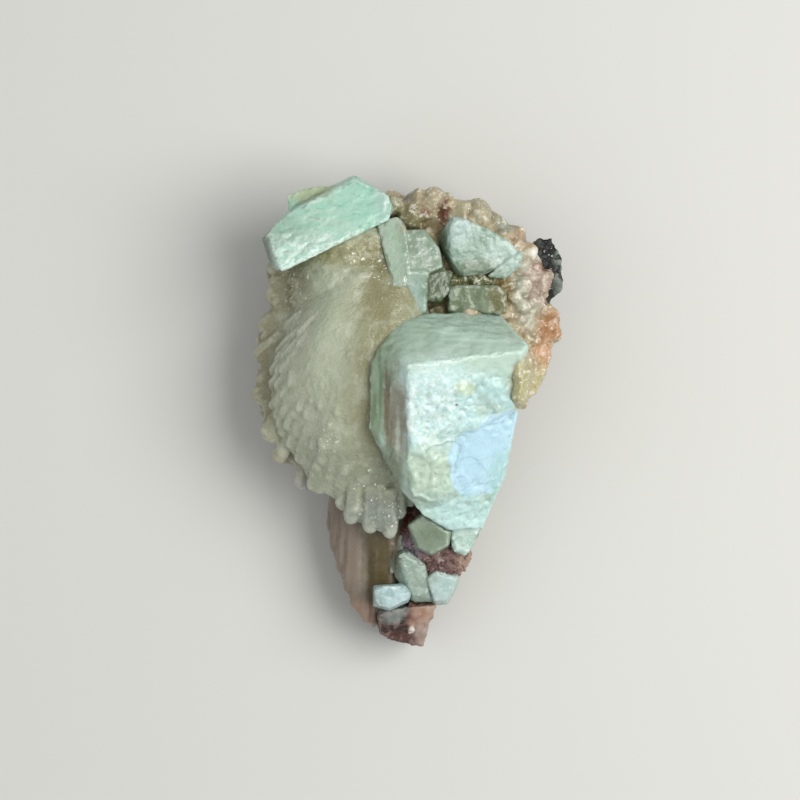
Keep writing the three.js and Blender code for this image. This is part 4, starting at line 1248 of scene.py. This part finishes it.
# The red-brown druse round the lower rhomb: a granular crust of very small crystals, purple-brown
# with an orange edge.
RED_MIDDLE = (4.5, -28.5)
RED_BLOCKS = [(300, (0.8, 1.6), 0.6, 8), (1200, (0.3, 0.7), 0.7, 9)]
RED_OUTLINE = [
    (-2, -21), (-2.6, -26), (-1, -30), (3, -33.8), (8.6, -36), (11.8, -33.4), (13, -29), (10, -24),
    (3, -18),
]
red_dome = Dome(RED_MIDDLE, ends_of(RED_MIDDLE, RED_OUTLINE), 19.0, 15.6, 8.0, 0.0, 3.0)
red_core = with_relief(displaced(remeshed(red_dome.body("red_core"), 0.35), crust_relief))
red_crystals = [carrier for row in RED_BLOCKS for carrier in scattered(red_core, *row)]
paint = Finish("Red druse", "765c56", 0.45, Subsurface_Weight=0.1, Subsurface_Scale=0.001, Coat_Weight=0.2)
paint.lay("533836", paint.cloud(1.2, 0.5, 0.1), 0.8)
paint.stains_and_painted_shade(
    ("978691", 0.8, (0.6, -29, 18), (2.4, 4, 5), 0.4, 0.5, 2),
    ("67291d", 0.7, (-1.2, -23, 18), (2.6, 3, 5), 0.3, 0.5, 2),
    ("a38878", 0.9, (11.8, -31, 16), (2.0, 4, 6), 0.3, 0.45, 2),
)
# painted highlight on the raised grains, and painted shade in the hollows between them
paint.lay("b59d94", paint.relief(0.6, 0.9), 0.5)
paint.lay("3a2523", paint.relief(0.4, 0.1), 0.6)
paint.gloss(paint.cloud(0.6, 0.5, 0.15), 0.2, 0.6)
red_material = paint.done()
red = grown("red_crust", red_crystals, block, red_core, red_material, 0.1, 9)
placed(red, red_material, "red_druse", "red_druse")
bpy.data.objects.remove(block)

# The stand for the picture: a plain pale floor, one soft light from the right and a weak one from
# the left, and a camera that looks straight down, as the photograph was taken.
CAMERA_PLACE = Vector((-1.9, 2.43, 720.0)) * MM
LENS = 149.0
KEY_LIGHT = 4.4
FILL_LIGHT = 1.2
SKY = 0.38
FLOOR_HALF = 1.5

floor_mesh = bpy.data.meshes.new("floor")
floor_corners = [(x * FLOOR_HALF, y * FLOOR_HALF, 0) for x, y in ((-1, -1), (1, -1), (1, 1), (-1, 1))]
floor_mesh.from_pydata(floor_corners, [], [(0, 1, 2, 3)])
floor = add_object("floor", floor_mesh)
floor_mesh.materials.append(Finish("Pale floor", "d2d2ce", 0.9).done())
floor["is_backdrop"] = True


def area_light(name, place, size, energy, colour):
    data = bpy.data.lights.new(name, "AREA")
    data.size = size
    data.energy = energy
    data.color = colour
    light = bpy.data.objects.new(name, data)
    light.location = place
    light.rotation_euler = (Vector((0, 0, 0.02)) - Vector(place)).to_track_quat("-Z", "Y").to_euler()
    bpy.context.collection.objects.link(light)


area_light("key", (0.40, 0.04, 0.56), 0.5, KEY_LIGHT, (1.0, 0.99, 0.96))
area_light("fill", (-0.5, -0.1, 0.6), 0.8, FILL_LIGHT, (0.95, 0.98, 1.0))
world = bpy.data.worlds.new("studio")
world.use_nodes = True
world.node_tree.nodes["Background"].inputs["Color"].default_value = (1, 1, 1, 1)
world.node_tree.nodes["Background"].inputs["Strength"].default_value = SKY
bpy.context.scene.world = world
bpy.context.scene.view_settings.view_transform = "Standard"

camera_data = bpy.data.cameras.new("camera")
camera_data.lens = LENS
camera_data.sensor_width = 36.0
camera_data.clip_start = 0.01
camera = bpy.data.objects.new("camera", camera_data)
camera.location = CAMERA_PLACE + Vector((ORIGIN.x, ORIGIN.y, 0))
bpy.context.collection.objects.link(camera)
bpy.context.scene.camera = camera

size = {"cad": [list(corner) for corner in cad_box], "visual": [list(corner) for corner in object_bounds()]}
